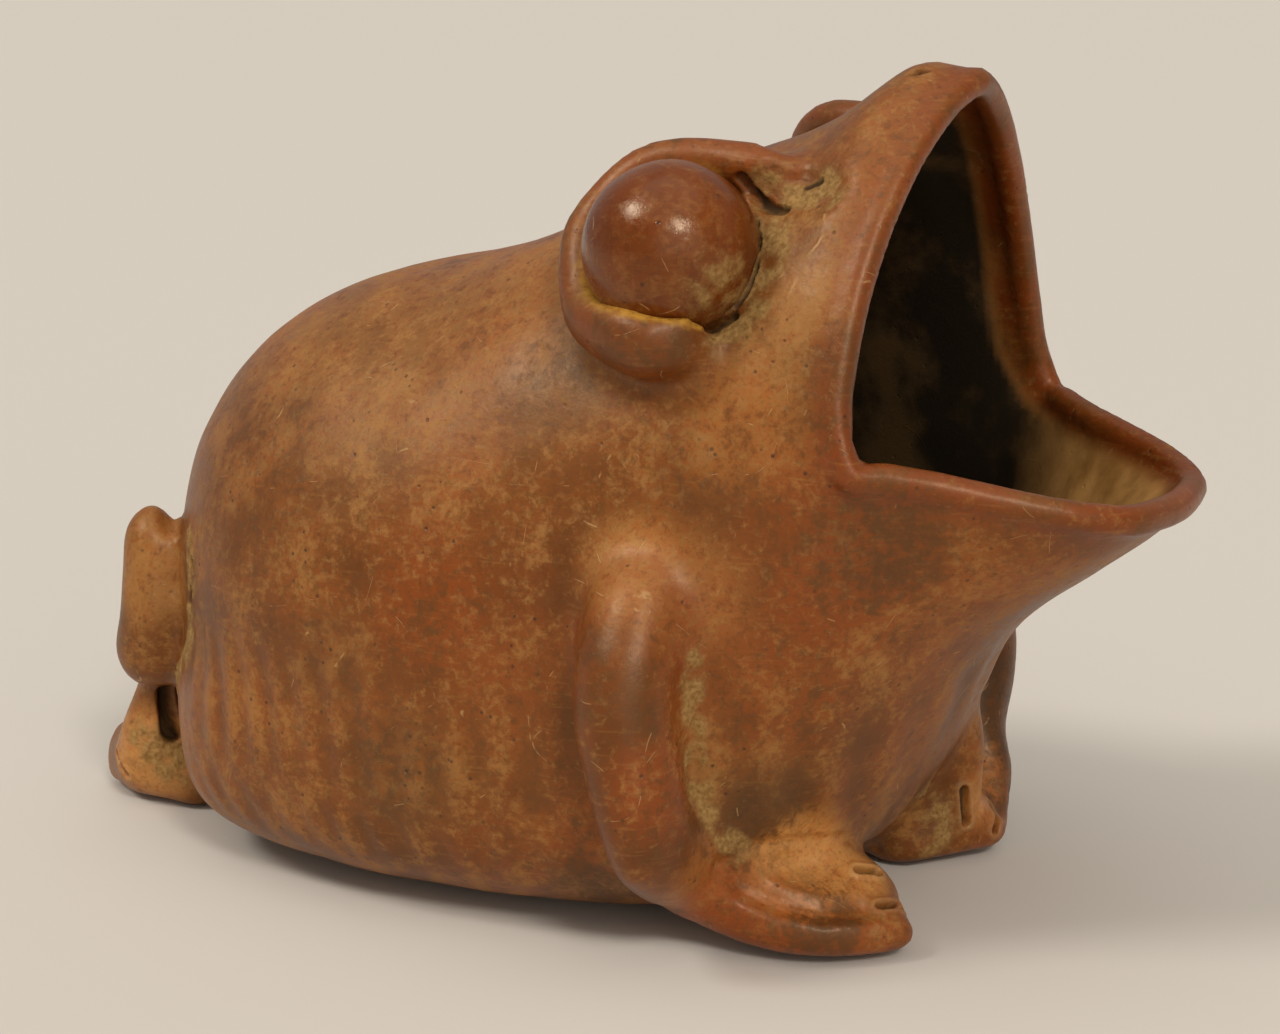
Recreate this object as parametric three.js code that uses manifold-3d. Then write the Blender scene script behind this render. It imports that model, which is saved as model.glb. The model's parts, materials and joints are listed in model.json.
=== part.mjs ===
// A frog effigy vessel of burnished red clay: a hollow, hand-built pot with a gaping frog's head.
// The frog faces +X, +Z is up, and y = 0 is its middle plane. Lengths are in millimetres.
// Each piece that the potter formed apart is a solid of its own, and a thin slip joint is left
// between two pieces that are pressed together.

import * as THREE from 'three';
import { mergeVertices } from 'three/addons/utils/BufferGeometryUtils.js';
import Module from 'manifold-3d';

const wasm = await Module();
wasm.setup();

// Driving dimensions of the pot
const WALL = 6.5;             // thickness of the clay wall
const SLIP_JOINT = 0.3;       // gap between two pieces that are pressed together
const FLOOR_GAP = 1.5;        // floor to the underside of the belly
const BELLY_LENGTH = 192;     // rump to chest, measured at the floor end of the chest
const BELLY_WIDTH = 172;
const BELLY_HEIGHT = 156;     // underside to the middle of the back
const SNOUT_REACH = 33;       // tip of the upper jaw in front of the chest
const SNOUT_RISE = 58;        // tip of the upper jaw above the middle of the back
const JAW_REACH = 89;         // tip of the lower jaw in front of the chest
const JAW_DROP = 47;          // tip of the lower jaw below the middle of the back
const MOUTH_WIDTH = 132;      // over the corners of the mouth
const CORNER_REACH = 30;      // corners of the mouth in front of the chest
const CORNER_DROP = 31;       // corners of the mouth below the middle of the back
const LIP_BOW = 6;            // how far the upper lip bows back between its tip and the corners

// Driving dimensions of the eyes and nostrils
const EYE_RADIUS = 21.5;
const EYE_PROUD = 8.5;        // how far the eyeball's centre stands out of the head
const EYE_FIT = 0.3;          // gap between the eyeball and its lid
const LID_RADIUS = 5.7;
const LID_END_RADIUS = 7.8;   // the lid's lower end is a thick pad
const NOSTRIL_LENGTH = 7;
const NOSTRIL_WIDTH = 2.4;
const NOSTRIL_DEPTH = 3;
const NOSTRIL_SPREAD = 15;    // between the two nostrils
const NOSTRIL_BACK = 9;       // behind the tip of the upper jaw

// Driving dimensions of the legs
const SHOULDER_RADIUS = 14.5;
const FORELEG_RADIUS = 12;
const FORETOE_RADIUS = 7.5;
const FOREFOOT_HEIGHT = 25;
const THIGH_RADIUS = 10.5;
const SHANK_RADIUS = 7;
const HINDFOOT_HEIGHT = 23;
const HINDFOOT_WIDTH = 45;
const HINDFOOT_LENGTH = 28;
const HINDFOOT_SEAT = 1.25;   // how far the edge of a hind foot reaches under the belly
const HINDFOOT_CREST = 9.5;   // from that edge to the highest point of the foot
const SLIT_WIDTH = 2.8;       // of the slits dug between the toes
const SLIT_HEIGHT = 11;
const SLIT_DEPTH = 4.5;
const SOLE_CUT = 1;           // how deep a coil is pressed flat where it stands on the floor
const SOLE_ROUND = 2;         // rounding at the edge of a foot's sole

// Heights and places that follow from them
const UNDER_Z = FLOOR_GAP;
const BACK_Z = UNDER_Z + BELLY_HEIGHT;
const SNOUT_Z = BACK_Z + SNOUT_RISE;
const JAW_Z = BACK_Z - JAW_DROP;
const CORNER_Z = BACK_Z - CORNER_DROP;
const RUMP_X = -131;
const CHEST_X = RUMP_X + BELLY_LENGTH;
const SNOUT_X = CHEST_X + SNOUT_REACH;
const JAW_X = CHEST_X + JAW_REACH;
const CORNER_X = CHEST_X + CORNER_REACH;

const mix = (from, to, share) => from + (to - from) * share;
const steps = (from, to, count) => Array.from({ length: count + 1 }, (_, i) => mix(from, to, i / count));

// The skin of the pot
// Hoops run round it from the rump to the lips. Three lines give where each hoop crosses the middle of the
// back, the side and the middle of the underside. On the belly a place is a share of the belly's length,
// half width and height. On the head it is a share of the way from the belly to the tip of a jaw, or to a
// corner of the mouth.

const onBelly = (along, wide, up) => new THREE.Vector3(
  mix(RUMP_X, CHEST_X, along),
  wide * BELLY_WIDTH / 2,
  mix(UNDER_Z, BACK_Z, up),
);
const toSnout = (along, up) => new THREE.Vector3(mix(CHEST_X, SNOUT_X, along), 0, mix(BACK_Z, SNOUT_Z, up));
const toJaw = (along, up) => new THREE.Vector3(mix(CHEST_X, JAW_X, along), 0, mix(UNDER_Z, JAW_Z, up));
const toCorner = (along, wide, up) => new THREE.Vector3(
  mix(CHEST_X, CORNER_X, along),
  mix(BELLY_WIDTH, MOUTH_WIDTH, wide) / 2,
  mix(BACK_Z, CORNER_Z, up),
);
const smoothLine = (points) => new THREE.CatmullRomCurve3(points, false, 'centripetal');

const BACK_LINE = smoothLine([
  onBelly(0, 0, 0.44),
  onBelly(0, 0, 0.615),
  onBelly(0.042, 0, 0.777),
  onBelly(0.146, 0, 0.913),
  onBelly(0.302, 0, 1),
  onBelly(0.474, 0, 1.045),
  onBelly(0.62, 0, 1.11),
  toSnout(-1.36, 0.5),
  toSnout(-0.7, 0.65),
  toSnout(-0.12, 0.77),
  toSnout(0.33, 0.93),
  toSnout(0.7, 1.03),
  toSnout(1, 1),
]);
const SIDE_LINE = smoothLine([
  onBelly(0, 0, 0.44),
  onBelly(0.021, 0.37, 0.42),
  onBelly(0.099, 0.66, 0.4),
  onBelly(0.245, 0.9, 0.385),
  onBelly(0.42, 1, 0.38),
  onBelly(0.604, 1, 0.4),
  onBelly(0.76, 0.94, 0.46),
  toCorner(-0.77, 0.55, 2.4),
  toCorner(-0.2, 0.7, 2),
  toCorner(0.23, 0.88, 1.62),
  toCorner(0.6, 0.97, 1.32),
  toCorner(0.87, 1, 1.1),
  toCorner(1, 1, 1),
]);
const UNDER_LINE = smoothLine([
  onBelly(0, 0, 0.44),
  onBelly(0.005, 0, 0.26),
  onBelly(0.03, 0, 0.105),
  onBelly(0.12, 0, 0.016),
  onBelly(0.32, 0, 0),
  onBelly(0.58, 0, 0),
  onBelly(0.81, 0, 0.005),
  toJaw(0, 0.05),
  toJaw(0.2, 0.21),
  toJaw(0.35, 0.44),
  toJaw(0.48, 0.66),
  toJaw(0.75, 0.84),
  toJaw(1, 1),
]);
// How square each quarter of a hoop is, above and below the side line: 2 is an oval, more is squarer with a
// flat base, and less comes to a blunt point.
const SQUARE = new THREE.CatmullRomCurve3([
  [2, 2.2],
  [2, 2.4],
  [2.05, 2.8],
  [2.1, 3.6],
  [2.15, 4.6],
  [2.15, 5.2],
  [2.15, 4.6],
  [2.1, 3.2],
  [2.05, 2.3],
  [2, 2.1],
  [1.9, 2],
  [1.75, 2],
  [1.6, 2],
].map(([upper, lower]) => new THREE.Vector3(upper, lower, 0)), false, 'catmullrom', 0.5);
const LIP = 12;               // the last hoop, which is the lip of the mouth
const NECK = 6;               // the hoop where the head was joined on to the belly
const FACE = 9;               // from this hoop to the lip, the chin turns into the outline of the lower jaw

// A quarter of a hoop as [share of the half width, share of the way from the side to the middle line].
function rounded(angle, square) {
  const reach = (Math.cos(angle) ** square + Math.sin(angle) ** square) ** (1 / square);
  return [Math.cos(angle) / reach, Math.sin(angle) / reach];
}

// The lower jaw ends as a spoon with flared corners.
const SPOON = smoothLine([
  new THREE.Vector3(1, 0, 0),
  new THREE.Vector3(0.82, 0.25, 0),
  new THREE.Vector3(0.7, 0.5, 0),
  new THREE.Vector3(0.56, 0.76, 0),
  new THREE.Vector3(0.34, 0.95, 0),
  new THREE.Vector3(0, 1, 0),
]);

// Where a middle line or the side line runs at hoop h, sunk by depth below the surface of the skin.
function onLine(line, h, depth, facing) {
  const place = line.getPoint(h / LIP);
  const run = line.getTangent(Math.min(Math.max(h / LIP, 0.0005), 0.9995));
  const out = facing === 'side' ? new THREE.Vector3(-run.y, run.x, 0) : new THREE.Vector3(-run.z, 0, run.x);
  return place.addScaledVector(out.normalize(), facing === 'under' ? depth : -depth);
}

// A point of the skin on hoop h. Round is 0 at the underside, 1 at the left side, 2 at the back and 3 at the
// right side.
function skin(h, round, depth = 0) {
  const turn = ((round % 4) + 4) % 4;
  const left = turn <= 2;
  const up = left ? turn : 4 - turn;
  const upper = up > 1;
  const angle = Math.min(Math.abs(up - 1), 1) * (Math.PI / 2);
  const square = SQUARE.getPoint(h / LIP);
  const [wide, towards] = rounded(angle, upper ? square.x : square.y);
  const spoon = SPOON.getPoint(angle / (Math.PI / 2));
  const lip = THREE.MathUtils.smoothstep(h, FACE, LIP);
  const share = upper ? 0 : lip;
  const bow = upper ? LIP_BOW * lip * Math.sin(Math.PI * (angle / (Math.PI / 2)) ** 0.55) ** 0.8 : 0;
  const side = onLine(SIDE_LINE, h, depth, 'side');
  const middle = upper ? onLine(BACK_LINE, h, depth, 'back') : onLine(UNDER_LINE, h, depth, 'under');
  const y = side.y * mix(wide, spoon.x, share);
  const from = mix(towards, spoon.y, share);
  return new THREE.Vector3(mix(side.x, middle.x, from) - bow, left ? y : -y, mix(side.z, middle.z, from));
}

// Solids from rings of points

// Joins rings of points into one closed surface. An end is one point, or loop joins the last ring to the
// first.
function loft(rings, loop = false) {
  const positions = rings.flat().flatMap((p) => p.toArray());
  const starts = rings.map((_, k) => rings.slice(0, k).flat().length);
  const index = [];
  const bridge = (a, b) => {
    const count = Math.max(rings[a].length, rings[b].length);
    for (let i = 0; i < count; i += 1) {
      const next = (i + 1) % count;
      const [a0, a1] = [i, next].map((k) => starts[a] + (k % rings[a].length));
      const [b0, b1] = [i, next].map((k) => starts[b] + (k % rings[b].length));
      if (a0 !== a1) index.push(a0, a1, b0);
      if (b0 !== b1) index.push(a1, b1, b0);
    }
  };
  rings.slice(1).forEach((_, k) => bridge(k, k + 1));
  if (loop) bridge(rings.length - 1, 0);
  const geometry = new THREE.BufferGeometry();
  geometry.setAttribute('position', new THREE.Float32BufferAttribute(positions, 3));
  geometry.setIndex(index);
  return geometry;
}

const middleOf = (ring) => ring.reduce((sum, p) => sum.add(p), new THREE.Vector3()).divideScalar(ring.length);

function solid(geometry) {
  const bare = geometry.clone();
  bare.deleteAttribute('normal');
  bare.deleteAttribute('uv');
  const merged = mergeVertices(bare, 1e-5);
  const corners = Array.from(merged.index.array);
  const make = (triVerts) => new wasm.Manifold(new wasm.Mesh({
    numProp: 3,
    vertProperties: merged.attributes.position.array,
    triVerts: new Uint32Array(triVerts),
  }));
  const made = make(corners);
  return made.volume() > 0 ? made : make(corners.reverse());
}

function toGeometry(cut) {
  const mesh = cut.getMesh();
  const geometry = new THREE.BufferGeometry();
  geometry.setAttribute('position', new THREE.BufferAttribute(new Float32Array(mesh.vertProperties), 3));
  geometry.setIndex(new THREE.BufferAttribute(new Uint32Array(mesh.triVerts), 1));
  geometry.computeVertexNormals();
  return geometry;
}

// The shell of the pot

const AROUND = 40;
const BELLY_HOOPS = 17;
const HEAD_HOOPS = 13;
const INNER_HOOPS = 9;
const LIP_STEPS = 4;
const POLE_HOOP = 0.45;       // first hoop in front of the rump's pole

const hoop = (h, depth) => Array.from({ length: AROUND }, (_, i) => skin(h, (4 * i) / AROUND, depth));

// The lip is rolled over from the outer to the inner skin as a half round.
function lipHoop(share) {
  const angle = share * Math.PI;
  return Array.from({ length: AROUND }, (_, i) => {
    const round = (4 * i) / AROUND;
    const outer = skin(LIP, round);
    const inner = skin(LIP, round, WALL);
    const middle = outer.clone().lerp(inner, 0.5);
    const half = outer.clone().sub(middle);
    const behind = skin(LIP - 0.1, round, WALL / 2);
    const forward = middle.clone().sub(behind).projectOnPlane(half).setLength(half.length());
    return middle.addScaledVector(half, Math.cos(angle)).addScaledVector(forward, Math.sin(angle));
  });
}

function bellyShell() {
  const outer = steps(POLE_HOOP, NECK, BELLY_HOOPS).map((h) => hoop(h, 0));
  const inner = steps(NECK, POLE_HOOP, INNER_HOOPS).map((h) => hoop(h, WALL));
  return solid(loft([[skin(0, 0)], ...outer, ...inner, [skin(0, 0, WALL)]]));
}

// The head starts in front of the belly's rim by the slip joint, where the two are nearest.
const hoopSpacing = (round) => 2 * skin(NECK, round).distanceTo(skin(NECK + 0.5, round));
const HEAD_START = NECK + (1.15 * SLIP_JOINT) / Math.min(hoopSpacing(0), hoopSpacing(1), hoopSpacing(2));

function headShell() {
  const outer = steps(HEAD_START, LIP, HEAD_HOOPS).map((h) => hoop(h, 0));
  const lip = steps(0, 1, LIP_STEPS).slice(1, -1).map(lipHoop);
  const inner = steps(LIP, HEAD_START, INNER_HOOPS).map((h) => hoop(h, WALL));
  return solid(loft([...outer, ...lip, ...inner], true));
}

// All that the pot's skin encloses, with the slip joint round it. It cuts the back of what is pressed on.
function skinBlank() {
  const belly = steps(POLE_HOOP, NECK, BELLY_HOOPS).map((h) => hoop(h, -SLIP_JOINT));
  const head = steps(HEAD_START, LIP, HEAD_HOOPS).map((h) => hoop(h, -SLIP_JOINT));
  return solid(loft([[skin(0, 0, -SLIP_JOINT)], ...belly, ...head, [middleOf(head[head.length - 1])]]));
}

// Coils, balls and pads of clay

const COIL_SIDES = 12;
const CAP_STEPS = 3;

// A rolled coil along a smooth line, rounded at both ends. Its radius follows the list of radii, and grow
// adds to it all over.
function coil(points, radii, stepsAlong, grow = 0) {
  const line = smoothLine(points);
  const radiusLine = new THREE.CatmullRomCurve3(radii.map((radius, i) => new THREE.Vector3(i, radius, 0)));
  const frames = line.computeFrenetFrames(stepsAlong, false);
  const ring = (k, angle) => {
    const radius = radiusLine.getPoint(k / stepsAlong).y + grow;
    const middle = line.getPointAt(k / stepsAlong)
      .addScaledVector(frames.tangents[k], Math.sin(angle) * radius);
    const around = (i) => (2 * Math.PI * i) / COIL_SIDES;
    return Array.from({ length: COIL_SIDES }, (_, i) => middle.clone()
      .addScaledVector(frames.normals[k], Math.cos(around(i)) * radius * Math.cos(angle))
      .addScaledVector(frames.binormals[k], Math.sin(around(i)) * radius * Math.cos(angle)));
  };
  const capAngles = steps(0, Math.PI / 2, CAP_STEPS).slice(1, -1);
  const startCap = [...capAngles].reverse().map((angle) => ring(0, -angle));
  const body = Array.from({ length: stepsAlong + 1 }, (_, k) => ring(k, 0));
  const endCap = capAngles.map((angle) => ring(stepsAlong, angle));
  const tip = (k, way) => line.getPointAt(k / stepsAlong)
    .addScaledVector(frames.tangents[k], way * (radiusLine.getPoint(k / stepsAlong).y + grow));
  return solid(loft([[tip(0, -1)], ...startCap, ...body, ...endCap, [tip(stepsAlong, 1)]]));
}

const BALL_SIDES = 24;
const BALL_RINGS = 14;
function ball(centre, radius) {
  const geometry = new THREE.SphereGeometry(radius, BALL_SIDES, BALL_RINGS);
  geometry.translate(centre.x, centre.y, centre.z);
  return solid(geometry);
}

// A pad of clay with a flat sole on the floor, domed up to a top point. Grow adds to it all over but under
// the sole.
const PAD_SIDES = 26;
const PAD_RINGS = 5;
const DOME = 0.6;             // 1 is a round dome, and less is steeper at the edge and flatter on top
function pad(outline, top, grow = 0) {
  const curve = new THREE.CatmullRomCurve3(outline, true, 'centripetal');
  const edge = curve.getSpacedPoints(PAD_SIDES).slice(0, -1);
  const foot = top.clone().setZ(0);
  const grown = edge.map((p) => p.clone().lerp(foot, -grow / p.distanceTo(foot)));
  const level = (z, scale) => grown.map((p) => foot.clone().lerp(p, scale).setZ(z));
  const dome = steps(0, 1, PAD_RINGS).slice(0, -1).map((share) => {
    const angle = share * (Math.PI / 2);
    return level(mix(SOLE_ROUND, top.z + grow, Math.sin(angle)), Math.cos(angle) ** DOME);
  });
  const sole = grown.map((p) => p.clone().lerp(foot, SOLE_ROUND / p.distanceTo(foot)));
  return solid(loft([[foot], sole, ...dome, [top.clone().setZ(top.z + grow)]]));
}

// A slit dug into the front of a foot, upright between two toes.
function toeSlit(front, heading) {
  const geometry = new THREE.SphereGeometry(1, 10, 10);
  geometry.scale(SLIT_DEPTH, SLIT_WIDTH / 2, SLIT_HEIGHT / 2);
  geometry.rotateZ(heading);
  geometry.translate(front.x, front.y, front.z);
  return solid(geometry);
}

function floorSlab() {
  const geometry = new THREE.BoxGeometry(4 * BELLY_LENGTH, 4 * BELLY_WIDTH, BELLY_HEIGHT);
  geometry.translate(0, 0, -BELLY_HEIGHT / 2);
  return solid(geometry);
}

// What the smaller pieces are cut by
const BLANK = skinBlank();
const FLOOR = floorSlab();
const SIDES = { right: -1, left: 1 };

// A point that stands out of the skin by proud, and the way that the skin faces and runs there.
function onSkin(h, round, proud, side) {
  const along = skin(h + 0.05, round).sub(skin(h - 0.05, round)).normalize();
  const around = skin(h, round + 0.02).sub(skin(h, round - 0.02));
  const out = new THREE.Vector3().crossVectors(around, along).normalize();
  const up = new THREE.Vector3().crossVectors(along, out).normalize();
  const at = skin(h, round).addScaledVector(out, proud);
  [at, along, out, up].forEach((v) => v.setY(v.y * side));
  return { at, along, out, up };
}

const pieces = new Map();

pieces.set('belly_shell', bellyShell());

// Head, with two slits for nostrils on the snout
function nostril(side) {
  const geometry = new THREE.SphereGeometry(1, 10, 8);
  geometry.scale(NOSTRIL_LENGTH / 2, NOSTRIL_WIDTH / 2, NOSTRIL_DEPTH);
  geometry.translate(SNOUT_X - NOSTRIL_BACK, side * NOSTRIL_SPREAD / 2, SNOUT_Z);
  return solid(geometry);
}
pieces.set('head_shell', headShell().subtract(nostril(SIDES.left)).subtract(nostril(SIDES.right)));

// Eyes: a ball pressed against the head, and a horseshoe of clay round its back for the lids
const EYES = {
  right: { hoop: 7.95, round: 1.53 },
  left: { hoop: 8.55, round: 1.54 },
};
const LID_STEPS = 21;
// The lid's line, from its lower end round the back to the front of the brow, as [forward, up, out] in radii
// of the ball from its middle.
const LID_LINE = [
  [0.02, -1.2, -0.18],
  [-0.6, -1.1, -0.12],
  [-1.1, -0.6, -0.05],
  [-1.24, 0.15, 0.05],
  [-0.95, 0.88, 0.05],
  [-0.2, 1.33, 0],
  [0.5, 1.2, -0.22],
  [1.2, 0.84, -0.45],
];
const LID_RADII = LID_LINE.map((_, i) => (i < 2 ? LID_END_RADIUS : LID_RADIUS));

function eye(name) {
  const { at, along, out, up } = onSkin(EYES[name].hoop, EYES[name].round, EYE_PROUD, SIDES[name]);
  const lidLine = LID_LINE.map(([forward, rise, proud]) => at.clone()
    .addScaledVector(along, forward * EYE_RADIUS)
    .addScaledVector(up, rise * EYE_RADIUS)
    .addScaledVector(out, proud * EYE_RADIUS));
  return {
    eyeball: ball(at, EYE_RADIUS).subtract(BLANK),
    eyelid: coil(lidLine, LID_RADII, LID_STEPS).subtract(BLANK).subtract(ball(at, EYE_RADIUS + EYE_FIT)),
  };
}

// Legs
// A foot's own plan: ahead is the way its toes point and inward is towards the frog's middle. Heading is
// how far the toes turn in from straight ahead of the frog.
function footPlan({ x, y, heading }, side) {
  return (ahead, inward, z = 0) => new THREE.Vector3(
    x + ahead * Math.cos(heading) - inward * Math.sin(heading),
    side * (y - ahead * Math.sin(heading) - inward * Math.cos(heading)),
    z,
  );
}

// The hoop that a leg stands at, the place of its foot on the floor and how far its toes turn in. The forearm
// bends from the upper arm to the outer toe, as [ahead, inward, up].
const TOE_UP = FORETOE_RADIUS - SOLE_CUT;
const FORELEGS = {
  right: {
    hoop: 7.08,
    x: CHEST_X + 28,
    y: 45,
    heading: 0.65,
    forearm: [[-43, 8, TOE_UP + 20], [-28, 8, TOE_UP + 6], [-12, 0, TOE_UP + 2], [5, 4, TOE_UP]],
  },
  left: {
    hoop: 7.75,
    x: CHEST_X + 20,
    y: 48,
    heading: 0.5,
    forearm: [[-18, -10, TOE_UP + 21], [-8, -8, TOE_UP + 9], [0, -2, TOE_UP + 2], [7, 4, TOE_UP]],
  },
};
// The upper arm runs down the skin, as [hoops from the leg's own, round, proud].
const UPPER_ARM = [[0.2, 1.02, 1], [0.05, 0.91, 7], [-0.08, 0.79, 10], [-0.15, 0.68, 11]];
const FORELEG_RADII = [
  SHOULDER_RADIUS,
  SHOULDER_RADIUS,
  FORELEG_RADIUS,
  FORELEG_RADIUS,
  FORELEG_RADIUS,
  mix(FORELEG_RADIUS, FORETOE_RADIUS, 0.45),
  mix(FORELEG_RADIUS, FORETOE_RADIUS, 0.9),
  FORETOE_RADIUS,
];
const FORELEG_STEPS = 18;
const FOREFOOT_OUTLINE = [
  [6, 6],
  [12, 12],
  [13, 17],
  [10.5, 21],
  [11, 26],
  [8, 31],
  [-6, 37],
  [-26, 36],
  [-37, 28],
  [-31, 18],
  [-18, 9],
];
const FOREFOOT_TOP = [-16, 26];
const FORE_SLITS = [[10, 11, TOE_UP + 5], [10, 21, TOE_UP + 8]];

const cutBy = (body, cutters) => cutters.reduce((left, cutter) => left.subtract(cutter), body);

function foreleg(name) {
  const side = SIDES[name];
  const leg = FORELEGS[name];
  const plan = footPlan(leg, side);
  const arm = UPPER_ARM.map(([hoops, round, proud]) => onSkin(leg.hoop + hoops, round, proud, side).at);
  const line = [...arm, ...leg.forearm.map((place) => plan(...place))];
  const outline = FOREFOOT_OUTLINE.map((place) => plan(...place));
  const slits = FORE_SLITS.map((place) => toeSlit(plan(...place), -side * leg.heading));
  const armRoom = coil(line, FORELEG_RADII, FORELEG_STEPS, SLIP_JOINT);
  return {
    foreleg: cutBy(coil(line, FORELEG_RADII, FORELEG_STEPS), [BLANK, FLOOR, ...slits]),
    forefoot: cutBy(pad(outline, plan(...FOREFOOT_TOP, FOREFOOT_HEIGHT)), [BLANK, armRoom, ...slits]),
  };
}

// The hoop that a thigh is pressed on at, the line of the rump that the foot is pressed against and how far
// its toes turn out
const HINDLEGS = {
  right: { hoop: 1.68, round: 0.298, heading: -1.75 },
  left: { hoop: 1.68, round: 0.298, heading: -1.75 },
};
const HIND_SEAT_UP = 0.7;     // where the belly meets a hind foot, as a share of the foot's height
const RUMP_FOOT = 3;          // the hoop where the rump has turned into the underside

// Where the rump comes down to height z. Round gives the line, as in skin.
function rumpAt(round, z) {
  let [above, below] = [POLE_HOOP, RUMP_FOOT];
  for (let halving = 0; halving < 30; halving += 1) {
    const middle = (above + below) / 2;
    if (skin(middle, round).z > z) above = middle;
    else below = middle;
  }
  return skin(above, round);
}
const THIGH = [[0.04, 1.23, 6], [0, 1.1, 7.5], [-0.02, 0.93, 7.5], [-0.02, 0.77, 7.5]];
const THIGH_RADII = [THIGH_RADIUS, THIGH_RADIUS - 1, THIGH_RADIUS, THIGH_RADIUS + 1];
const THIGH_STEPS = 10;
const HINDFOOT_SIDES = 10;
const HINDFOOT_TOP = [0, HINDFOOT_WIDTH / 2 - HINDFOOT_CREST];
const SHANK = [[4, 3, 1.4 * HINDFOOT_HEIGHT], [2, 0, HINDFOOT_HEIGHT / 2]];
const SHANK_RADII = [SHANK_RADIUS, SHANK_RADIUS, SHANK_RADIUS + 2];
const SHANK_STEPS = 7;
const HIND_SLITS = [[0.42, -0.27], [0.5, 0.12]]; // as shares of the foot's length and width

function hindleg(name) {
  const side = SIDES[name];
  const leg = HINDLEGS[name];
  const seat = rumpAt(leg.round, HIND_SEAT_UP * HINDFOOT_HEIGHT);
  const footX = seat.x + HINDFOOT_SEAT - HINDFOOT_WIDTH / 2;
  const plan = footPlan({ x: footX, y: seat.y, heading: leg.heading }, side);
  const thighLine = THIGH.map(([hoops, round, proud]) => onSkin(leg.hoop + hoops, round, proud, side).at);
  const knee = thighLine[thighLine.length - 1];
  const shankLine = [knee, ...SHANK.map((place) => plan(...place))];
  const outline = steps(0, 2 * Math.PI, HINDFOOT_SIDES).slice(0, -1).map((angle) => plan(
    (HINDFOOT_LENGTH / 2) * Math.cos(angle),
    (HINDFOOT_WIDTH / 2) * Math.sin(angle),
  ));
  const slits = HIND_SLITS.map(([ahead, inward]) => toeSlit(
    plan(ahead * HINDFOOT_LENGTH, inward * HINDFOOT_WIDTH, HINDFOOT_HEIGHT / 2),
    -side * leg.heading,
  ));
  const top = plan(...HINDFOOT_TOP, HINDFOOT_HEIGHT);
  const thighRoom = coil(thighLine, THIGH_RADII, THIGH_STEPS, SLIP_JOINT);
  const footRoom = pad(outline, top, SLIP_JOINT);
  return {
    thigh: cutBy(coil(thighLine, THIGH_RADII, THIGH_STEPS), [BLANK]),
    shank: cutBy(coil(shankLine, SHANK_RADII, SHANK_STEPS), [BLANK, thighRoom, footRoom]),
    hindfoot: cutBy(pad(outline, top), [BLANK, ...slits]),
  };
}

for (const name of Object.keys(SIDES)) {
  const made = { ...eye(name), ...foreleg(name), ...hindleg(name) };
  Object.entries(made).forEach(([piece, body]) => pieces.set(`${piece}_${name}`, body));
}

// Colours of the burnished slip: tan on the back, redder on the head, lids and legs
const TAN = '#96623f';
const RED = '#8f4a2c';
const ORANGE = '#9c5231';
const colourOf = (name) => {
  if (name === 'belly_shell') return TAN;
  return name.startsWith('eyeball') ? RED : ORANGE;
};

const vessel = new THREE.Group();
for (const [name, body] of pieces) {
  const material = new THREE.MeshStandardMaterial({ color: colourOf(name), roughness: 0.42, metalness: 0 });
  const mesh = new THREE.Mesh(toGeometry(body), material);
  mesh.name = name;
  vessel.add(mesh);
}

// The origin is on the floor under the middle of the vessel.
const box = new THREE.Box3().setFromObject(vessel);
const centre = box.getCenter(new THREE.Vector3());
vessel.position.set(-centre.x, -centre.y, -box.min.z);
vessel.updateMatrixWorld(true);

export default vessel;
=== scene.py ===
# %% [markdown]
# # A burnished clay frog
#
# This lesson dresses the measured model of a hollow clay pot in the shape of a squatting frog. The measured
# pieces say where everything is. Here they turn back into soft, hand-pressed, polished earthenware.
#
# Units are metres. The frog faces +X, its left side is +Y and +Z is up. The floor is at z = 0.

# %% Load the measured pieces
import json
import math
from contextlib import contextmanager

import bmesh
import bpy
import numpy as np
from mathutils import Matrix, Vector, noise
from mathutils.bvhtree import BVHTree

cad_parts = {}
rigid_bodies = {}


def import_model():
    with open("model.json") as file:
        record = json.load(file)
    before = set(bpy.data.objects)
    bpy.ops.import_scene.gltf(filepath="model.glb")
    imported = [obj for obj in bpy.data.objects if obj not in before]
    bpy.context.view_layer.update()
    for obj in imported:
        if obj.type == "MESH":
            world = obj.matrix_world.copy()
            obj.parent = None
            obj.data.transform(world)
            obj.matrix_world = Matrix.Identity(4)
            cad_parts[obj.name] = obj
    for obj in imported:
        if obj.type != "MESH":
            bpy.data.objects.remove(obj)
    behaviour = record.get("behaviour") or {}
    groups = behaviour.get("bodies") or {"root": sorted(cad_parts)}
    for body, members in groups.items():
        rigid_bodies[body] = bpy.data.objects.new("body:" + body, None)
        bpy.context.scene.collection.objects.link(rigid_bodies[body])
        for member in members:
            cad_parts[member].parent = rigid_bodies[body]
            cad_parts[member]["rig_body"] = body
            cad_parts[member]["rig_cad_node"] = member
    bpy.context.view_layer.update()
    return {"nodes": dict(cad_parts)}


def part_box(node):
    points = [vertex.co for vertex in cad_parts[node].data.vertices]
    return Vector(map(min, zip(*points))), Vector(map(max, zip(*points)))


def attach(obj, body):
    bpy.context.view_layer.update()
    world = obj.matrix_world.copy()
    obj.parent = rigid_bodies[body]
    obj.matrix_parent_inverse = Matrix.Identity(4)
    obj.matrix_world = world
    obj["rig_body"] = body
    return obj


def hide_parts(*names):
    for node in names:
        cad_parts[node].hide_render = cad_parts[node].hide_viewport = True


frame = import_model()
MM = 0.001
MIDDLE = 1.45 * MM            # y of the plane between the frog's left and right side
SIDES = ("right", "left")

# %% [markdown]
# The camera comes first, because some marks are placed by where the photograph shows them. Measured
# coordinates would do too, but nobody could check them against the picture. So `spot` sends a ray through a
# picture point and returns where it meets a piece.

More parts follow.
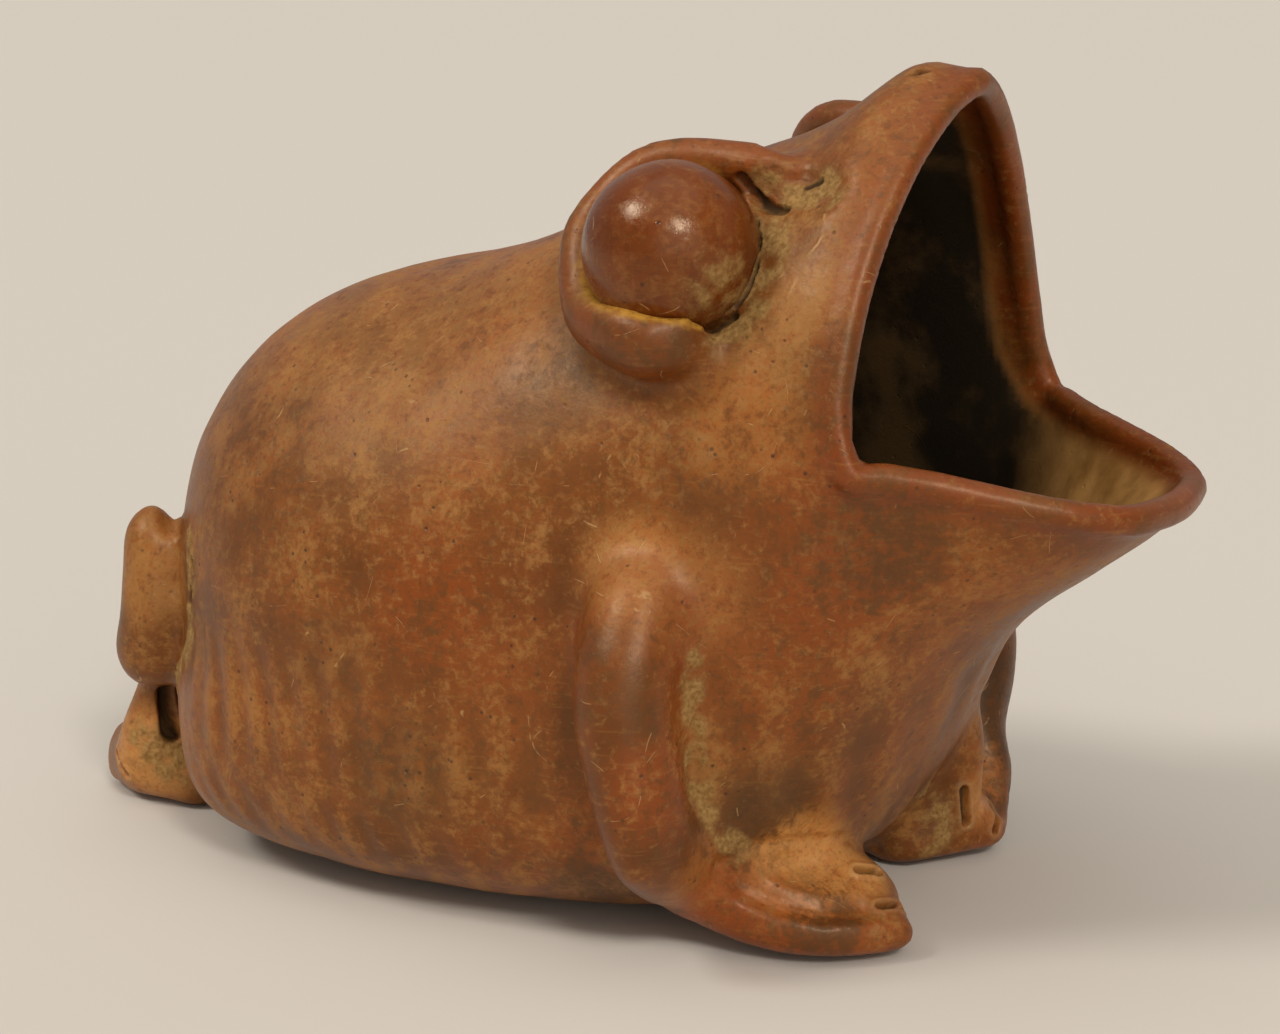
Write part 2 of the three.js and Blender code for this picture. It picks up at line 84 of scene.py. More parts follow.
# %% Camera
PICTURE = (1280, 1034)
LOOK_AT = Vector((0.0064, 0.0015, 0.0934))
CAMERA_AZIMUTH = math.radians(30)
CAMERA_ELEVATION = math.radians(13)
CAMERA_DISTANCE = 0.702
CAMERA_LENS = 73.125
SENSOR = 36.0
PICTURE_RIGHT = np.array((math.cos(CAMERA_AZIMUTH), math.sin(CAMERA_AZIMUTH), 0))
UP = np.array((0, 0, 1.0))
AWAY = np.array((-math.sin(CAMERA_AZIMUTH), math.cos(CAMERA_AZIMUTH), 0))

towards_camera = Vector((
    math.sin(CAMERA_AZIMUTH) * math.cos(CAMERA_ELEVATION),
    -math.cos(CAMERA_AZIMUTH) * math.cos(CAMERA_ELEVATION),
    math.sin(CAMERA_ELEVATION),
))
camera_data = bpy.data.cameras.new("camera")
camera_data.lens = CAMERA_LENS
camera_data.sensor_width = SENSOR
camera_data.sensor_fit = "HORIZONTAL"
camera_data.clip_end = 200
camera = bpy.data.objects.new("camera", camera_data)
camera.location = LOOK_AT + CAMERA_DISTANCE * towards_camera
camera.rotation_euler = (-towards_camera).to_track_quat("-Z", "Y").to_euler()
bpy.context.scene.collection.objects.link(camera)
bpy.context.scene.camera = camera
bpy.context.view_layer.update()


def ray_through(x, y):
    """The direction from the camera through a point of the picture."""
    pixels = CAMERA_LENS / SENSOR * PICTURE[0]
    ray = Vector((x - PICTURE[0] / 2, PICTURE[1] / 2 - y, -pixels)).normalized()
    return camera.matrix_world.to_quaternion() @ ray


def spot(surface, x, y):
    """The point and the outward direction of a surface that the picture shows at x, y, or just beside it."""
    for aside in range(0, 20, 2):
        for way in range(8 if aside else 1):
            angle = math.radians(45 * way)
            ray = ray_through(x + aside * math.cos(angle), y + aside * math.sin(angle))
            place, normal, _, _ = surface.ray_cast(camera.location, ray)
            if place is not None:
                return np.array(place), np.array(normal)
    raise RuntimeError("the picture shows no surface at %d, %d" % (x, y))


print("camera at", [round(c, 4) for c in camera.location])

# %% [markdown]
# Work in Blender means: select the piece, enter edit mode, use an operator, leave. These helpers keep that
# short. An operator acts on all that is selected, so everything is deselected first.


# %% Hand tools
def pick(*pieces):
    """Select only these pieces and make the first one active."""
    bpy.ops.object.select_all(action="DESELECT")
    for piece in pieces:
        piece.select_set(True)
    bpy.context.view_layer.objects.active = pieces[0]


@contextmanager
def editing(piece):
    """Be in edit mode on a piece until the block ends."""
    pick(piece)
    bpy.ops.object.mode_set(mode="EDIT")
    yield
    bpy.ops.object.mode_set(mode="OBJECT")


def finish_with(piece, kind, **settings):
    """Add a modifier with these settings and apply it."""
    pick(piece)
    modifier = piece.modifiers.new(kind.lower(), kind)
    modifier.show_viewport = False      # it is only worked out once, when it is applied
    for name, value in settings.items():
        setattr(modifier, name, value)
    bpy.ops.object.modifier_apply(modifier=modifier.name)
    if piece.modifiers:
        raise RuntimeError(kind + " could not be applied to " + piece.name)


def copy_of(piece, name):
    pick(piece)
    bpy.ops.object.duplicate()
    made = bpy.context.object
    made.name = name
    return made


def copy_node(node):
    """A copy of a measured piece with its loose triangles merged, free of the frame."""
    piece = copy_of(frame["nodes"][node], "copy_of_" + node)
    bpy.ops.object.parent_clear(type="CLEAR_KEEP_TRANSFORM")
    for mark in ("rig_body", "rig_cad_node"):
        del piece[mark]
    with editing(piece):
        bpy.ops.mesh.select_all(action="SELECT")
        bpy.ops.mesh.remove_doubles(threshold=0.02 * MM)
    return piece


def round_off(piece):
    """Pair the triangles of a piece into quads and subdivide it into a soft form."""
    with editing(piece):
        bpy.ops.mesh.select_all(action="SELECT")
        bpy.ops.mesh.tris_convert_to_quads(
            face_threshold=math.radians(35), shape_threshold=math.radians(70), topology_influence=1
        )
    finish_with(piece, "SUBSURF", levels=2)


# %% [markdown]
# Some work is done on the bare points: pulling, or asking how far each is from a crack. Numpy does that to all
# of them at once. Sculpt mode could, but its strokes need a window.


# %% Tools for the points of a piece
def read_vectors(items, name):
    flat = np.empty(len(items) * 3)
    items.foreach_get(name, flat)
    return flat.reshape(-1, 3)


def points_of(piece):
    return read_vectors(piece.data.vertices, "co")


def normals_of(piece):
    return read_vectors(piece.data.vertex_normals, "vector")


def move_points(piece, points):
    piece.data.vertices.foreach_set("co", points.ravel())
    piece.data.update()


def surface_of(piece):
    """A search tree of a piece, for the nearest point and for rays."""
    bpy.context.view_layer.update()
    return BVHTree.FromObject(piece, bpy.context.evaluated_depsgraph_get())


def nearest_on(points, route):
    """The nearest places on a line through these places, and how far each point is from them."""
    gaps = np.full(len(points), np.inf)
    places = np.zeros_like(points)
    for start, end in zip(route[:-1], route[1:]):
        along = end - start
        share = np.clip((points - start) @ along / (along @ along), 0, 1)
        place = start + share[:, None] * along
        gap = np.linalg.norm(points - place, axis=1)
        places[gap < gaps] = place[gap < gaps]
        gaps = np.minimum(gaps, gap)
    return places, gaps


def off_route(points, route):
    return nearest_on(points, route)[1]


def gaps_to(points, pieces, reach):
    """How far each point is from the nearest of these pieces, up to reach."""
    gaps = np.full(len(points), reach)
    for piece in pieces:
        surface = surface_of(piece)
        own = points_of(piece)
        near = np.all((points > own.min(axis=0) - reach) & (points < own.max(axis=0) + reach), axis=1)
        for i in np.nonzero(near)[0]:
            nearest = surface.find_nearest(Vector(points[i]), gaps[i])[3]
            if nearest is not None:
                gaps[i] = nearest
    return gaps


def ease(value, low, high):
    """0 below low, 1 above high and a smooth step between them."""
    share = np.clip((value - low) / (high - low), 0, 1)
    return share * share * (3 - 2 * share)


def grab(piece, centre, reach, move, core=0, through=False):
    """Pull the points round a centre along, those beyond core less and less out to reach."""
    points = points_of(piece)
    if through:
        far = np.hypot((points - centre) @ PICTURE_RIGHT, points[:, 2] - centre[2])
    else:
        far = np.linalg.norm(points - centre, axis=1)
    points += ease(reach - far, 0, reach - core)[:, None] * np.asarray(move)
    move_points(piece, points)


# %% [markdown]
# ## The hollow pot
#
# The real belly and head are coiled up in one go and smoothed over, so no seam shows. The measured belly and
# head meet at the neck with a hair's gap. Copies of the two are opened at the neck and their rims merged.


# %% Join belly and head into one shell
def faces_against(piece, other):
    """For each face of a piece, whether it is part of the rim that lies against the other piece."""
    surface = surface_of(other)
    near = [surface.find_nearest(v.co)[3] < 0.7 * MM for v in piece.data.vertices]
    return [all(near[i] for i in face.vertices) for face in piece.data.polygons]


bpy.context.tool_settings.mesh_select_mode = (False, False, True)
belly = copy_node("belly_shell")
head = copy_node("head_shell")
rims = {belly: faces_against(belly, head), head: faces_against(head, belly)}
for piece, rim in rims.items():
    print(piece.name, "rim faces", sum(rim))
    piece.data.polygons.foreach_set("select", rim)
    with editing(piece):
        bpy.ops.mesh.delete(type="FACE")
pick(belly, head)
bpy.ops.object.join()
pot = bpy.context.object
pot.name = "pot"
with editing(pot):
    bpy.ops.mesh.select_mode(type="VERT")
    bpy.ops.mesh.select_all(action="DESELECT")
    bpy.ops.mesh.select_non_manifold()
    bpy.ops.mesh.remove_doubles(threshold=1.2 * MM)
    bpy.ops.mesh.select_all(action="DESELECT")
    bpy.ops.mesh.select_non_manifold()
print("open points left at the neck", sum(v.select for v in pot.data.vertices))

# %% [markdown]
# The shell's triangles come from rings of points, each four-sided cell cut along its diagonal. Subdividing needs
# the cells whole, or the lip ripples. The operator that pairs triangles guesses some pairs wrong. But opposite
# sides of any two neighbouring triangles run the same way, and following that from face to face sorts all
# edges into three directions. The longest of the three is the diagonal.


# %% Turn the shell's net into even quads
def even_quads(piece):
    """Dissolve the diagonals of a triangulated net of rings."""
    POLE = 12                 # a point with more edges than this is a pole, where the rule doesn't hold
    net = bmesh.new()
    net.from_mesh(piece.data)
    net.edges.ensure_lookup_table()
    direction = {}
    between = {frozenset(edge.verts): edge for edge in net.edges}
    first = next(f for f in net.faces if all(len(v.link_edges) == 6 for v in f.verts))
    for k, edge in enumerate(first.edges):
        direction[edge] = k
    queue = [first]
    seen = {first}
    for face in queue:
        for edge in face.edges:
            for other in edge.link_faces:
                if other in seen or any(len(v.link_edges) > POLE for v in other.verts):
                    continue
                a, b = edge.verts
                apex = next(v for v in face.verts if v not in edge.verts)
                far = next(v for v in other.verts if v not in edge.verts)
                direction.setdefault(between[frozenset((b, far))], direction[between[frozenset((a, apex))]])
                direction.setdefault(between[frozenset((a, far))], direction[between[frozenset((b, apex))]])
                seen.add(other)
                queue.append(other)
    lengths = [np.mean([e.calc_length() for e, k in direction.items() if k == way]) for way in range(3)]
    diagonals = [e for e, k in direction.items() if k == int(np.argmax(lengths))]
    bmesh.ops.dissolve_edges(net, edges=diagonals)
    net.to_mesh(piece.data)
    net.free()
    print(piece.name, "mean edge by direction", [round(float(x) / MM, 1) for x in lengths], "mm")


SNOUT = (908, 84)
even_quads(pot)
finish_with(pot, "SUBSURF", levels=2)
grab(pot, spot(surface_of(pot), *SNOUT)[0], 24 * MM, 1.8 * MM * UP, core=4 * MM)
print("pot", len(pot.data.polygons), "faces")

# %% [markdown]
# ## The rolled lip
#
# The potter finished the mouth with a rolled coil, worn round and shiny. A bevelled curve gives it one even
# thickness. The route runs from the chin over the left corner of the mouth to the snout, with y counted from
# the middle plane, and the right half mirrors it.

# %% Roll a coil along the lip
LIP_RADIUS = 3.8 * MM
PARED = 1.0 * MM              # the wall's own rim is pared by this, so that only the coil shows
LIP_ROUTE = [
    (155.0, 0, 113.1), (154.1, 11.1, 113.3), (152.0, 21.3, 113.7), (147.4, 28.9, 114.8), (141.2, 35.1, 116.3),
    (134.0, 39.9, 118.0), (126.4, 43.9, 119.8), (119.2, 47.6, 121.5), (112.2, 51.5, 123.1),
    (105.0, 56.9, 124.8), (97.9, 62.8, 126.5), (93.4, 60.8, 139.7), (92.8, 57.0, 151.8), (92.9, 52.3, 162.9),
    (93.5, 46.8, 173.0), (94.3, 40.7, 182.1), (95.2, 34.0, 190.5), (96.3, 26.6, 198.0), (97.5, 18.5, 204.5),
    (98.8, 9.6, 209.6), (100.3, 0, 212.3),
]
lip_line = LIP_ROUTE + [(x, -y, z) for x, y, z in LIP_ROUTE[-2:0:-1]]
lip_line = np.array(lip_line) * MM + (0, MIDDLE, 0)
lip_curve = bpy.data.curves.new("lip", "CURVE")
lip_curve.dimensions = "3D"
lip_curve.bevel_depth = LIP_RADIUS
lip_curve.bevel_resolution = 4
lip_curve.resolution_u = 6
run = lip_curve.splines.new("BEZIER")
run.bezier_points.add(len(lip_line) - 1)
for knot, place in zip(run.bezier_points, lip_line):
    knot.co = place
    knot.handle_left_type = knot.handle_right_type = "AUTO"
run.use_cyclic_u = True
lip = bpy.data.objects.new("lip", lip_curve)
bpy.context.scene.collection.objects.link(lip)
pick(lip)
bpy.ops.object.convert(target="MESH")
lip = bpy.context.object
lip_route = np.vstack([lip_line, lip_line[:1]])
points = points_of(pot)
places, gaps = nearest_on(points, lip_route)
pared = PARED * ease(9 * MM - gaps, 0, 4 * MM) / np.maximum(gaps, 1 * MM)
move_points(pot, points + pared[:, None] * (places - points))
print("lip", len(lip.data.polygons), "faces")

# %% [markdown]
# ## Lids, legs and feet
#
# Each was a coil or a pad of clay, pressed on while wet. Copies of the measured pieces are pushed a little into
# what carries them. Moving a whole piece would shift its outline, so only the side towards its carrier sinks.


# %% Press the coils and pads on
def press_on(piece, carrier, depth):
    """Sink the side of a piece that lies against its carrier."""
    surface = surface_of(carrier)
    points = points_of(piece)
    for i, point in enumerate(points):
        _, outward, _, gap = surface.find_nearest(Vector(point))
        if gap < 0.9 * MM:
            points[i] -= depth * np.array(outward)
    move_points(piece, points)


CARRIERS = {
    "eyelid": ["pot"],
    "foreleg": ["pot"],
    "forefoot": ["pot", "foreleg"],
    "thigh": ["pot"],
    "hindfoot": ["pot"],
    "shank": ["pot", "thigh", "hindfoot"],
}
coils = {}
for side in SIDES:
    for kind, carriers in CARRIERS.items():
        piece = copy_node(kind + "_" + side)
        for carrier in carriers:
            press_on(piece, coils.get((carrier, side), pot), 3 * MM)
        coils[kind, side] = piece
print("pressed on", [piece.name for piece in coils.values()])

# %% [markdown]
# The photograph shows these coils fuller or lower in places than measured. Each is pulled there, as with a
# sculptor's grab brush, and then subdivided into a soft form. The left side follows the right one.

# %% Pull the coils into shape
EYE_SHIFT = (np.sum(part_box("eyeball_left"), axis=0) - np.sum(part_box("eyeball_right"), axis=0)) / 2
NUDGES = (  # pieces, place in the picture, reach, way (right, up, away) in mm
    (("foreleg",), (640, 760), 45, (-3.2, 0, 0)),
    (("foreleg",), (655, 872), 30, (-1, -4.5, 0)),
    (("foreleg",), (690, 860), 24, (-3, -4.5, 0)),
    (("foreleg",), (690, 700), 17, (-3, 0, 0)),
    (("foreleg",), (690, 905), 26, (-1, -3, 5)),
    (("foreleg", "forefoot"), (893, 925), 26, (3.5, 0, 0)),
    (("forefoot",), (880, 882), 14, (4, 0, 0)),
    (("thigh",), (188, 508), 9, (-1, -10, 0)),
    (("hindfoot",), (120, 750), 17, (-1.8, 4, 0)),
    (("hindfoot",), (165, 745), 14, (0, 4, 0)),
    (("eyelid",), (600, 335), 20, (2, 5.5, -1.5)),
    (("eyelid",), (562, 270), 16, (2.2, 0, 0)),
    (("eyelid",), (702, 338), 15, (-2, -1.5, 0)),
    (("eyelid",), (702, 352), 16, (0, 0, 4)),
)
THROUGH = ("thigh", "hindfoot")         # pulled at any depth, and on both sides like the lids


def mirrored(place):
    """The same place on the frog's other side."""
    return np.asarray(place) * (1, -1, 1) + (0, 2 * MIDDLE, 0)


def other_eye(place):
    """The same place at the left eye, which sits a little further forward and higher."""
    right_ball = np.sum(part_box("eyeball_right"), axis=0) / 2
    return (np.asarray(place) - right_ball) * (1, -1, 1) + right_ball + EYE_SHIFT


right_surfaces = {kind: surface_of(piece) for (kind, side), piece in coils.items() if side == "right"}
for kinds, place, reach, (right, up, away) in NUDGES:
    centre, _ = spot(right_surfaces[kinds[0]], *place)
    way = (right * PICTURE_RIGHT + up * UP + away * AWAY) * MM
    for kind in kinds:
        left = coils[kind, "left"]
        through = kind in THROUGH
        grab(coils[kind, "right"], centre, reach * MM, way, through=through)
        if kind == "eyelid":
            grab(left, other_eye(centre), reach * MM, way * (1, -1, 1))
        elif through:
            move_points(left, mirrored(points_of(left)))
            grab(left, centre, reach * MM, way, through=through)
            move_points(left, mirrored(points_of(left)))
for (kind, side), piece in coils.items():
    if kind != "eyelid":
        points = points_of(piece)
        points[:, 2] = np.maximum(points[:, 2], 0.3 * MM)
        move_points(piece, points)
    round_off(piece)
print("pulled in", len(NUDGES), "places")

# %% [markdown]
# The shank widens into the heel, no daylight shows between the far foreleg and the chest, and the web of each
# forefoot is full. Squashed balls of clay fill these places. A bigger coil could, but it would change the
# outline elsewhere. Copies of the balls stay apart, because the seams round them are smoothed later.

# %% Fill the heels, the armpit and the webs
HEEL = (9.5 * MM, 8.5 * MM, 20 * MM)
ARMPIT = (10 * MM, 7 * MM, 24 * MM)
WEB = (22 * MM, 13 * MM, 7 * MM)
WEB_SUNK = 5.5 * MM
FAR_ARMPIT_Y = 34 * MM
ARMPIT_SPOT = (953, 776)
WEB_SPOT = (800, 880)
lumps = []


def add_lump(piece, centre, size, turn):
    """Press a ball of clay, squashed to this size and turned by these degrees, on a piece."""
    bpy.ops.mesh.primitive_ico_sphere_add(
        subdivisions=3, radius=1, location=centre, rotation=[math.radians(a) for a in turn], scale=size
    )
    lump = bpy.context.object
    bpy.ops.object.transform_apply(location=True, rotation=True, scale=True)
    lumps.append(copy_of(lump, "lump"))
    pick(piece, lump)
    bpy.ops.object.join()


for side in SIDES:
    low, high = (np.array(c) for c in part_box("shank_" + side))
    inward = 1 if side == "right" else -1
    heel = ((low[0] + high[0]) / 2 - 4 * MM, (low[1] + high[1]) / 2 - inward * 2.5 * MM, low[2] + 1 * MM)
    add_lump(coils["shank", side], heel, HEEL, (0, 15, 0))
gap_ray = ray_through(*ARMPIT_SPOT)
armpit = camera.location + (FAR_ARMPIT_Y - camera.location.y) / gap_ray.y * gap_ray
add_lump(coils["forefoot", "left"], armpit, ARMPIT, (0, 10, 25))
web, _ = spot(surface_of(coils["forefoot", "right"]), *WEB_SPOT)
web -= WEB_SUNK * UP
add_lump(coils["forefoot", "right"], web, WEB, (0, 12, 25))
add_lump(coils["forefoot", "left"], mirrored(web), WEB, (0, 12, -25))
print("armpit at", [round(c, 4) for c in armpit], "web at", np.round(web, 4))

# %% [markdown]
# ## One lump of clay
#
# Everything but the eyeballs is joined and remeshed with small cubes, which melts the overlaps away. A boolean
# union would leave knife-sharp creases, while the remesh gives even faces that can be smoothed where the
# potter's thumb smoothed them.

# %% Melt the clay together
VOXEL = 2 * MM
clay = copy_of(pot, "clay")
pick(clay, lip, *[copy_of(piece, "lump") for piece in coils.values()])
bpy.ops.object.join()
finish_with(clay, "REMESH", mode="VOXEL", voxel_size=VOXEL, adaptivity=0, use_smooth_shade=True)
print("clay", len(clay.data.vertices), "points")

# %% [markdown]
# ## Where the thumb smoothed
#
# The shoulders, the web of the feet and the outer sides of the lids run softly into the pot. The inner sides of
# the lids and the creases behind the arms stay sharp. A vertex group holds how soft each seam is, by how near
# a point is to both of its pieces. A bevel could round a seam too, but it needs clean edges, which clay hasn't.

# %% Smooth the seams
SOFT_SEAMS = {                # how far the seam between each coil and the pot is smoothed
    "eyelid": 9 * MM, "foreleg": 4 * MM, "forefoot": 9 * MM,
    "thigh": 1 * MM, "hindfoot": 8 * MM, "shank": 5 * MM,
}
COIL_SEAMS = (("foreleg", "forefoot", 5 * MM), ("shank", "hindfoot", 10 * MM), ("shank", "thigh", 4 * MM))
SEAM_REACH = 26 * MM
LUMP_SEAM = 12 * MM
SHOULDER_HEIGHT = 0.076
SHOULDER_SOFTNESS = 24 * MM
MELTED = (                    # places of the picture that the thumb melted down, with their reach in mm
    (700, 358, 14), (684, 886, 15), (722, 905, 13), (668, 850, 12), (640, 545, 18), (690, 575, 14),
)
LID_END = MELTED[0]


def weight_group(piece, name, weights):
    """A vertex group from an array of weights, in steps of a thirty-second."""
    group = piece.vertex_groups.new(name=name)
    levels = np.round(np.clip(weights, 0, 1) * 32).astype(int)
    for level in range(1, 33):
        group.add(np.nonzero(levels == level)[0].tolist(), level / 32, "REPLACE")
    return name


points = points_of(clay)
from_coil = {
    kind: gaps_to(points, [coils[kind, side] for side in SIDES], SEAM_REACH) for kind in SOFT_SEAMS
}
from_pot = gaps_to(points, [pot], SEAM_REACH)
softness = np.zeros(len(points))
for kind, soft in SOFT_SEAMS.items():
    width = np.full(len(points), soft)
    if kind == "foreleg":
        width += (SHOULDER_SOFTNESS - soft) * ease(points[:, 2], SHOULDER_HEIGHT, SHOULDER_HEIGHT + 0.014)
    softness = np.maximum(softness, 1 - (from_pot + from_coil[kind]) / width)
for one, other, width in COIL_SEAMS:
    softness = np.maximum(softness, 1 - (from_coil[one] + from_coil[other]) / width)
softness = np.maximum(softness, 1 - gaps_to(points, lumps, LUMP_SEAM) / LUMP_SEAM)
eyeballs = {side: copy_node("eyeball_" + side) for side in SIDES}
from_ball = gaps_to(points, eyeballs.values(), 10 * MM)
softness *= ease(from_ball, 2 * MM, 6 * MM)

bare_clay = surface_of(clay)
for melted in MELTED:
    x, y, reach = melted
    place, _ = spot(bare_clay, x, y)
    for centre in (place, other_eye(place) if melted is LID_END else mirrored(place)):
        far = np.linalg.norm(points - centre, axis=1)
        melt = ease(reach * MM - far, 0, 6 * MM) * ease(from_ball, 1 * MM, 3 * MM)
        softness = np.maximum(softness, melt)
seams = weight_group(clay, "seams", ease(softness, 0, 0.6))
finish_with(clay, "SMOOTH", factor=0.5, iterations=60, vertex_group=seams)
print("softened", int((softness > 0).sum()), "points")

# %% [markdown]
# The remesh left faint steps along the lip, and on a polished rim each step catches the light. More smoothing
# would thin the lip away. So it is ironed, which swells back what it shrinks, then the points of the coil are
# set one radius from its middle line, and the creases beside it are smoothed.


# %% Even out the lip
def iron(piece, weights, rounds):
    """Even out ripples without thinning the clay: each round shrinks it a little and swells it back."""
    points = points_of(piece)
    ends = np.empty(len(piece.data.edges) * 2, dtype=np.int64)
    piece.data.edges.foreach_get("vertices", ends)
    ends = ends.reshape(-1, 2)
    ends = ends[np.any(weights[ends] > 0, axis=1)]
    ironed, ends = np.unique(ends, return_inverse=True)
    one, other = ends.reshape(-1, 2).T
    patch = points[ironed]
    many = len(ironed)
    neighbours = np.bincount(one, minlength=many) + np.bincount(other, minlength=many)
    share = (weights[ironed] / neighbours)[:, None]
    for strength in (0.5, -0.52) * rounds:
        total = np.stack([
            np.bincount(one, patch[other, axis], many) + np.bincount(other, patch[one, axis], many)
            for axis in range(3)
        ], axis=1)
        patch += strength * share * (total - neighbours[:, None] * patch)
    points[ironed] = patch
    move_points(piece, points)


def smooth_line(knots, steps):
    """A closed curve through these places, as many short steps."""
    before, after, later = np.roll(knots, 1, axis=0), np.roll(knots, -1, axis=0), np.roll(knots, -2, axis=0)
    t = (np.arange(steps) / steps)[:, None, None]
    line = knots + t * (after - before) / 2
    line = line + t ** 2 * (before - 2.5 * knots + 2 * after - later / 2)
    line = line + t ** 3 * (1.5 * (knots - after) + (later - before) / 2)
    line = line.transpose(1, 0, 2).reshape(-1, 3)
    return np.vstack([line, line[:1]])


off_lip = off_route(points_of(clay), lip_route)
finish_with(clay, "SMOOTH", factor=0.5, iterations=5)
iron(clay, ease(12 * MM - off_lip, 0, 4 * MM), 30)
points = points_of(clay)
near = np.nonzero(off_lip < 8 * MM)[0]
places, gaps = nearest_on(points[near], smooth_line(lip_line, 8))
roundness = 1 - ease(abs(gaps - LIP_RADIUS), 0.5 * MM, 1.6 * MM)
points[near] += (roundness * (LIP_RADIUS - gaps) / gaps)[:, None] * (points[near] - places)
move_points(clay, points)
beside_lip = ease(off_lip, LIP_RADIUS - 0.2 * MM, LIP_RADIUS + 1.2 * MM) * ease(12 * MM - off_lip, 0, 4 * MM)
blended = weight_group(clay, "blended", beside_lip)
finish_with(clay, "SMOOTH", factor=0.5, iterations=16, vertex_group=blended)
print("rounded the lip by up to", round(float(np.max(roundness * abs(LIP_RADIUS - gaps)) / MM), 2), "mm")

# %% [markdown]
# ## The hand of the potter
#
# No coil-built wall is even, so noise of two sizes moves the skin in and out by half a millimetre. The lower
# belly was wiped upwards with the fingers, which left shallow stripes a fingertip apart, in two rows. The
# material alone could draw them, but a real groove also catches the light.

# %% Uneven walls and finger stripes
SOLE = 4 * MM                 # nothing below this is moved, so that the frog stands firmly
UNEVEN = ((38 * MM, 0.7 * MM, 3.1), (13 * MM, 0.28 * MM, 7.7))      # size, height and seed of the lumps
BELLY_MIDDLE = (-0.045, MIDDLE)
STRIPE_PITCH = 11 * MM
STRIPE_HEIGHT = 0.42 * MM
STRIPE_RADIUS = 92 * MM       # of the belly, to turn an angle into a way round it
STRIPE_ROWS = ((52 * MM, 23 * MM, 0.16), (17 * MM, 18 * MM, 0.42))  # height, half height and slant of a row


def bumps(points, size, seed):
    """Smooth noise from -1 to 1 with lumps of this size."""
    return np.array([noise.noise(Vector(p) / size + Vector((seed, seed, seed))) for p in points])


def finger_stripes(points):
    """1 on the ridges that the fingers left, -1 in the furrows and 0 where they didn't wipe."""
    way_round = STRIPE_RADIUS * np.arctan2(points[:, 1] - BELLY_MIDDLE[1], points[:, 0] - BELLY_MIDDLE[0])
    stripes = np.zeros(len(points))
    for k, (height, half, slant) in enumerate(STRIPE_ROWS):
        phase = (way_round * (1 + 0.02 * k) + slant * (points[:, 2] - height)) / STRIPE_PITCH
        phase += 0.35 * bumps(points, 45 * MM, 11.3 + k)
        row = 1 - ease(abs(points[:, 2] - height), 0.5 * half, half)
        strength = np.clip(0.75 + 0.9 * bumps(points, 30 * MM, 5.2 + k), 0.15, 1)
        stripes += row * strength * np.sin(2 * math.pi * phase)
    return stripes


points = points_of(clay)
uneven = sum(height * bumps(points, size, seed) for size, height, seed in UNEVEN)
uneven *= 1 - 0.6 * ease(9 * MM - off_lip, 0, 4 * MM)
stripes = finger_stripes(points) * ease(0.5 * MM + gaps_to(points, coils.values(), 8 * MM), 2 * MM, 7 * MM)
fading = ease(points[:, 2], 12 * MM, 24 * MM) * ease(points[:, 0], -0.11, -0.075)   # to the base and the rump
firm = ease(points[:, 2], 1 * MM, SOLE)
points += (firm * (uneven + STRIPE_HEIGHT * stripes * fading))[:, None] * normals_of(clay)
move_points(clay, points)
print("stripes on", int((abs(stripes) > 0.3).sum()), "points")

# %% [markdown]
# ## Cracks, slits and crust
#
# These marks make the pot itself: the crack beside each eyeball, the rough hollow before it, the slits between
# the toes, the nostrils, the crust in the creases. Each is a line on the skin that follows the photograph and
# is repeated on the hidden side. Cutters could be modelled, but a line is quicker to move.


# %% Lay out the marks
def trace(*pixels):
    """A line on the clay through these points of the picture."""
    return np.array([spot(clay_surface, x, y)[0] for x, y in pixels])


clay_surface = surface_of(clay)
eye_marks = {
    "eye_crack": trace((757, 222), (759, 243), (757, 268), (748, 291), (736, 307)),
    "upper_gap": trace((741, 179), (749, 191), (757, 201), (766, 206), (782, 208)),
    "lower_gap": trace((706, 331), (716, 327), (732, 316)),
    "hollow": trace((775, 190), (800, 188), (822, 190)),
    "small_hole": trace((803, 184), (817, 177)),
    "sandy_edge": trace((778, 222), (776, 262), (764, 300), (742, 326), (716, 342)),
    "root": trace((824, 214), (825, 230), (818, 244), (808, 255), (800, 264), (794, 284), (787, 298)),
}
body_marks = {
    "armpit_crust": trace((694, 662), (690, 700), (692, 760), (703, 805), (722, 835), (742, 852)),
    "web_crease": trace((742, 846), (790, 841), (845, 839), (876, 848)),
    "web_groove": trace((724, 868), (750, 890), (780, 903), (822, 911), (862, 908)),
    "thigh_crust": trace((190, 540), (192, 580), (191, 620), (187, 655), (178, 680)),
    "thigh_hole_high": trace((192, 563), (193, 571)),
    "thigh_hole_low": trace((191, 590), (190, 604)),
    "heel_gap": trace((167, 692), (169, 712), (171, 732)),
    "heel_patch": trace((150, 745), (180, 760)),
    "hind_slit": trace((118, 753), (121, 763), (127, 774)),
    "toe_slit": trace((880, 906), (900, 907)),
    "inner_toe_slit": trace((858, 870), (877, 872)),
    "nostril": trace((914, 73), (927, 69)),
}
far_marks = {
    "far_toe_slit": trace((964, 790), (966, 822)),
    "far_inner_slit": trace((993, 801), (995, 830)),
    "far_web_crust": trace((925, 790), (940, 820), (935, 845)),
}
marks = {**body_marks, **far_marks, **eye_marks}
hidden_side = [name for name in body_marks if "toe" not in name and "hole" not in name]
marks.update({"left_" + name: mirrored(body_marks[name]) for name in hidden_side})
marks.update({"left_" + name: other_eye(route) for name, route in eye_marks.items()})
print(len(marks), "marks")

# %% [markdown]
# A slit narrower than the faces it is cut in would come out jagged. Subdividing the whole pot would waste faces
# on the smooth back. So only the faces near the marks are cut in four, and the finest marks' a second time.

# %% Refine the clay round the marks
FINE_MARKS = ("slit", "nostril", "hole", "gap", "crack", "root")


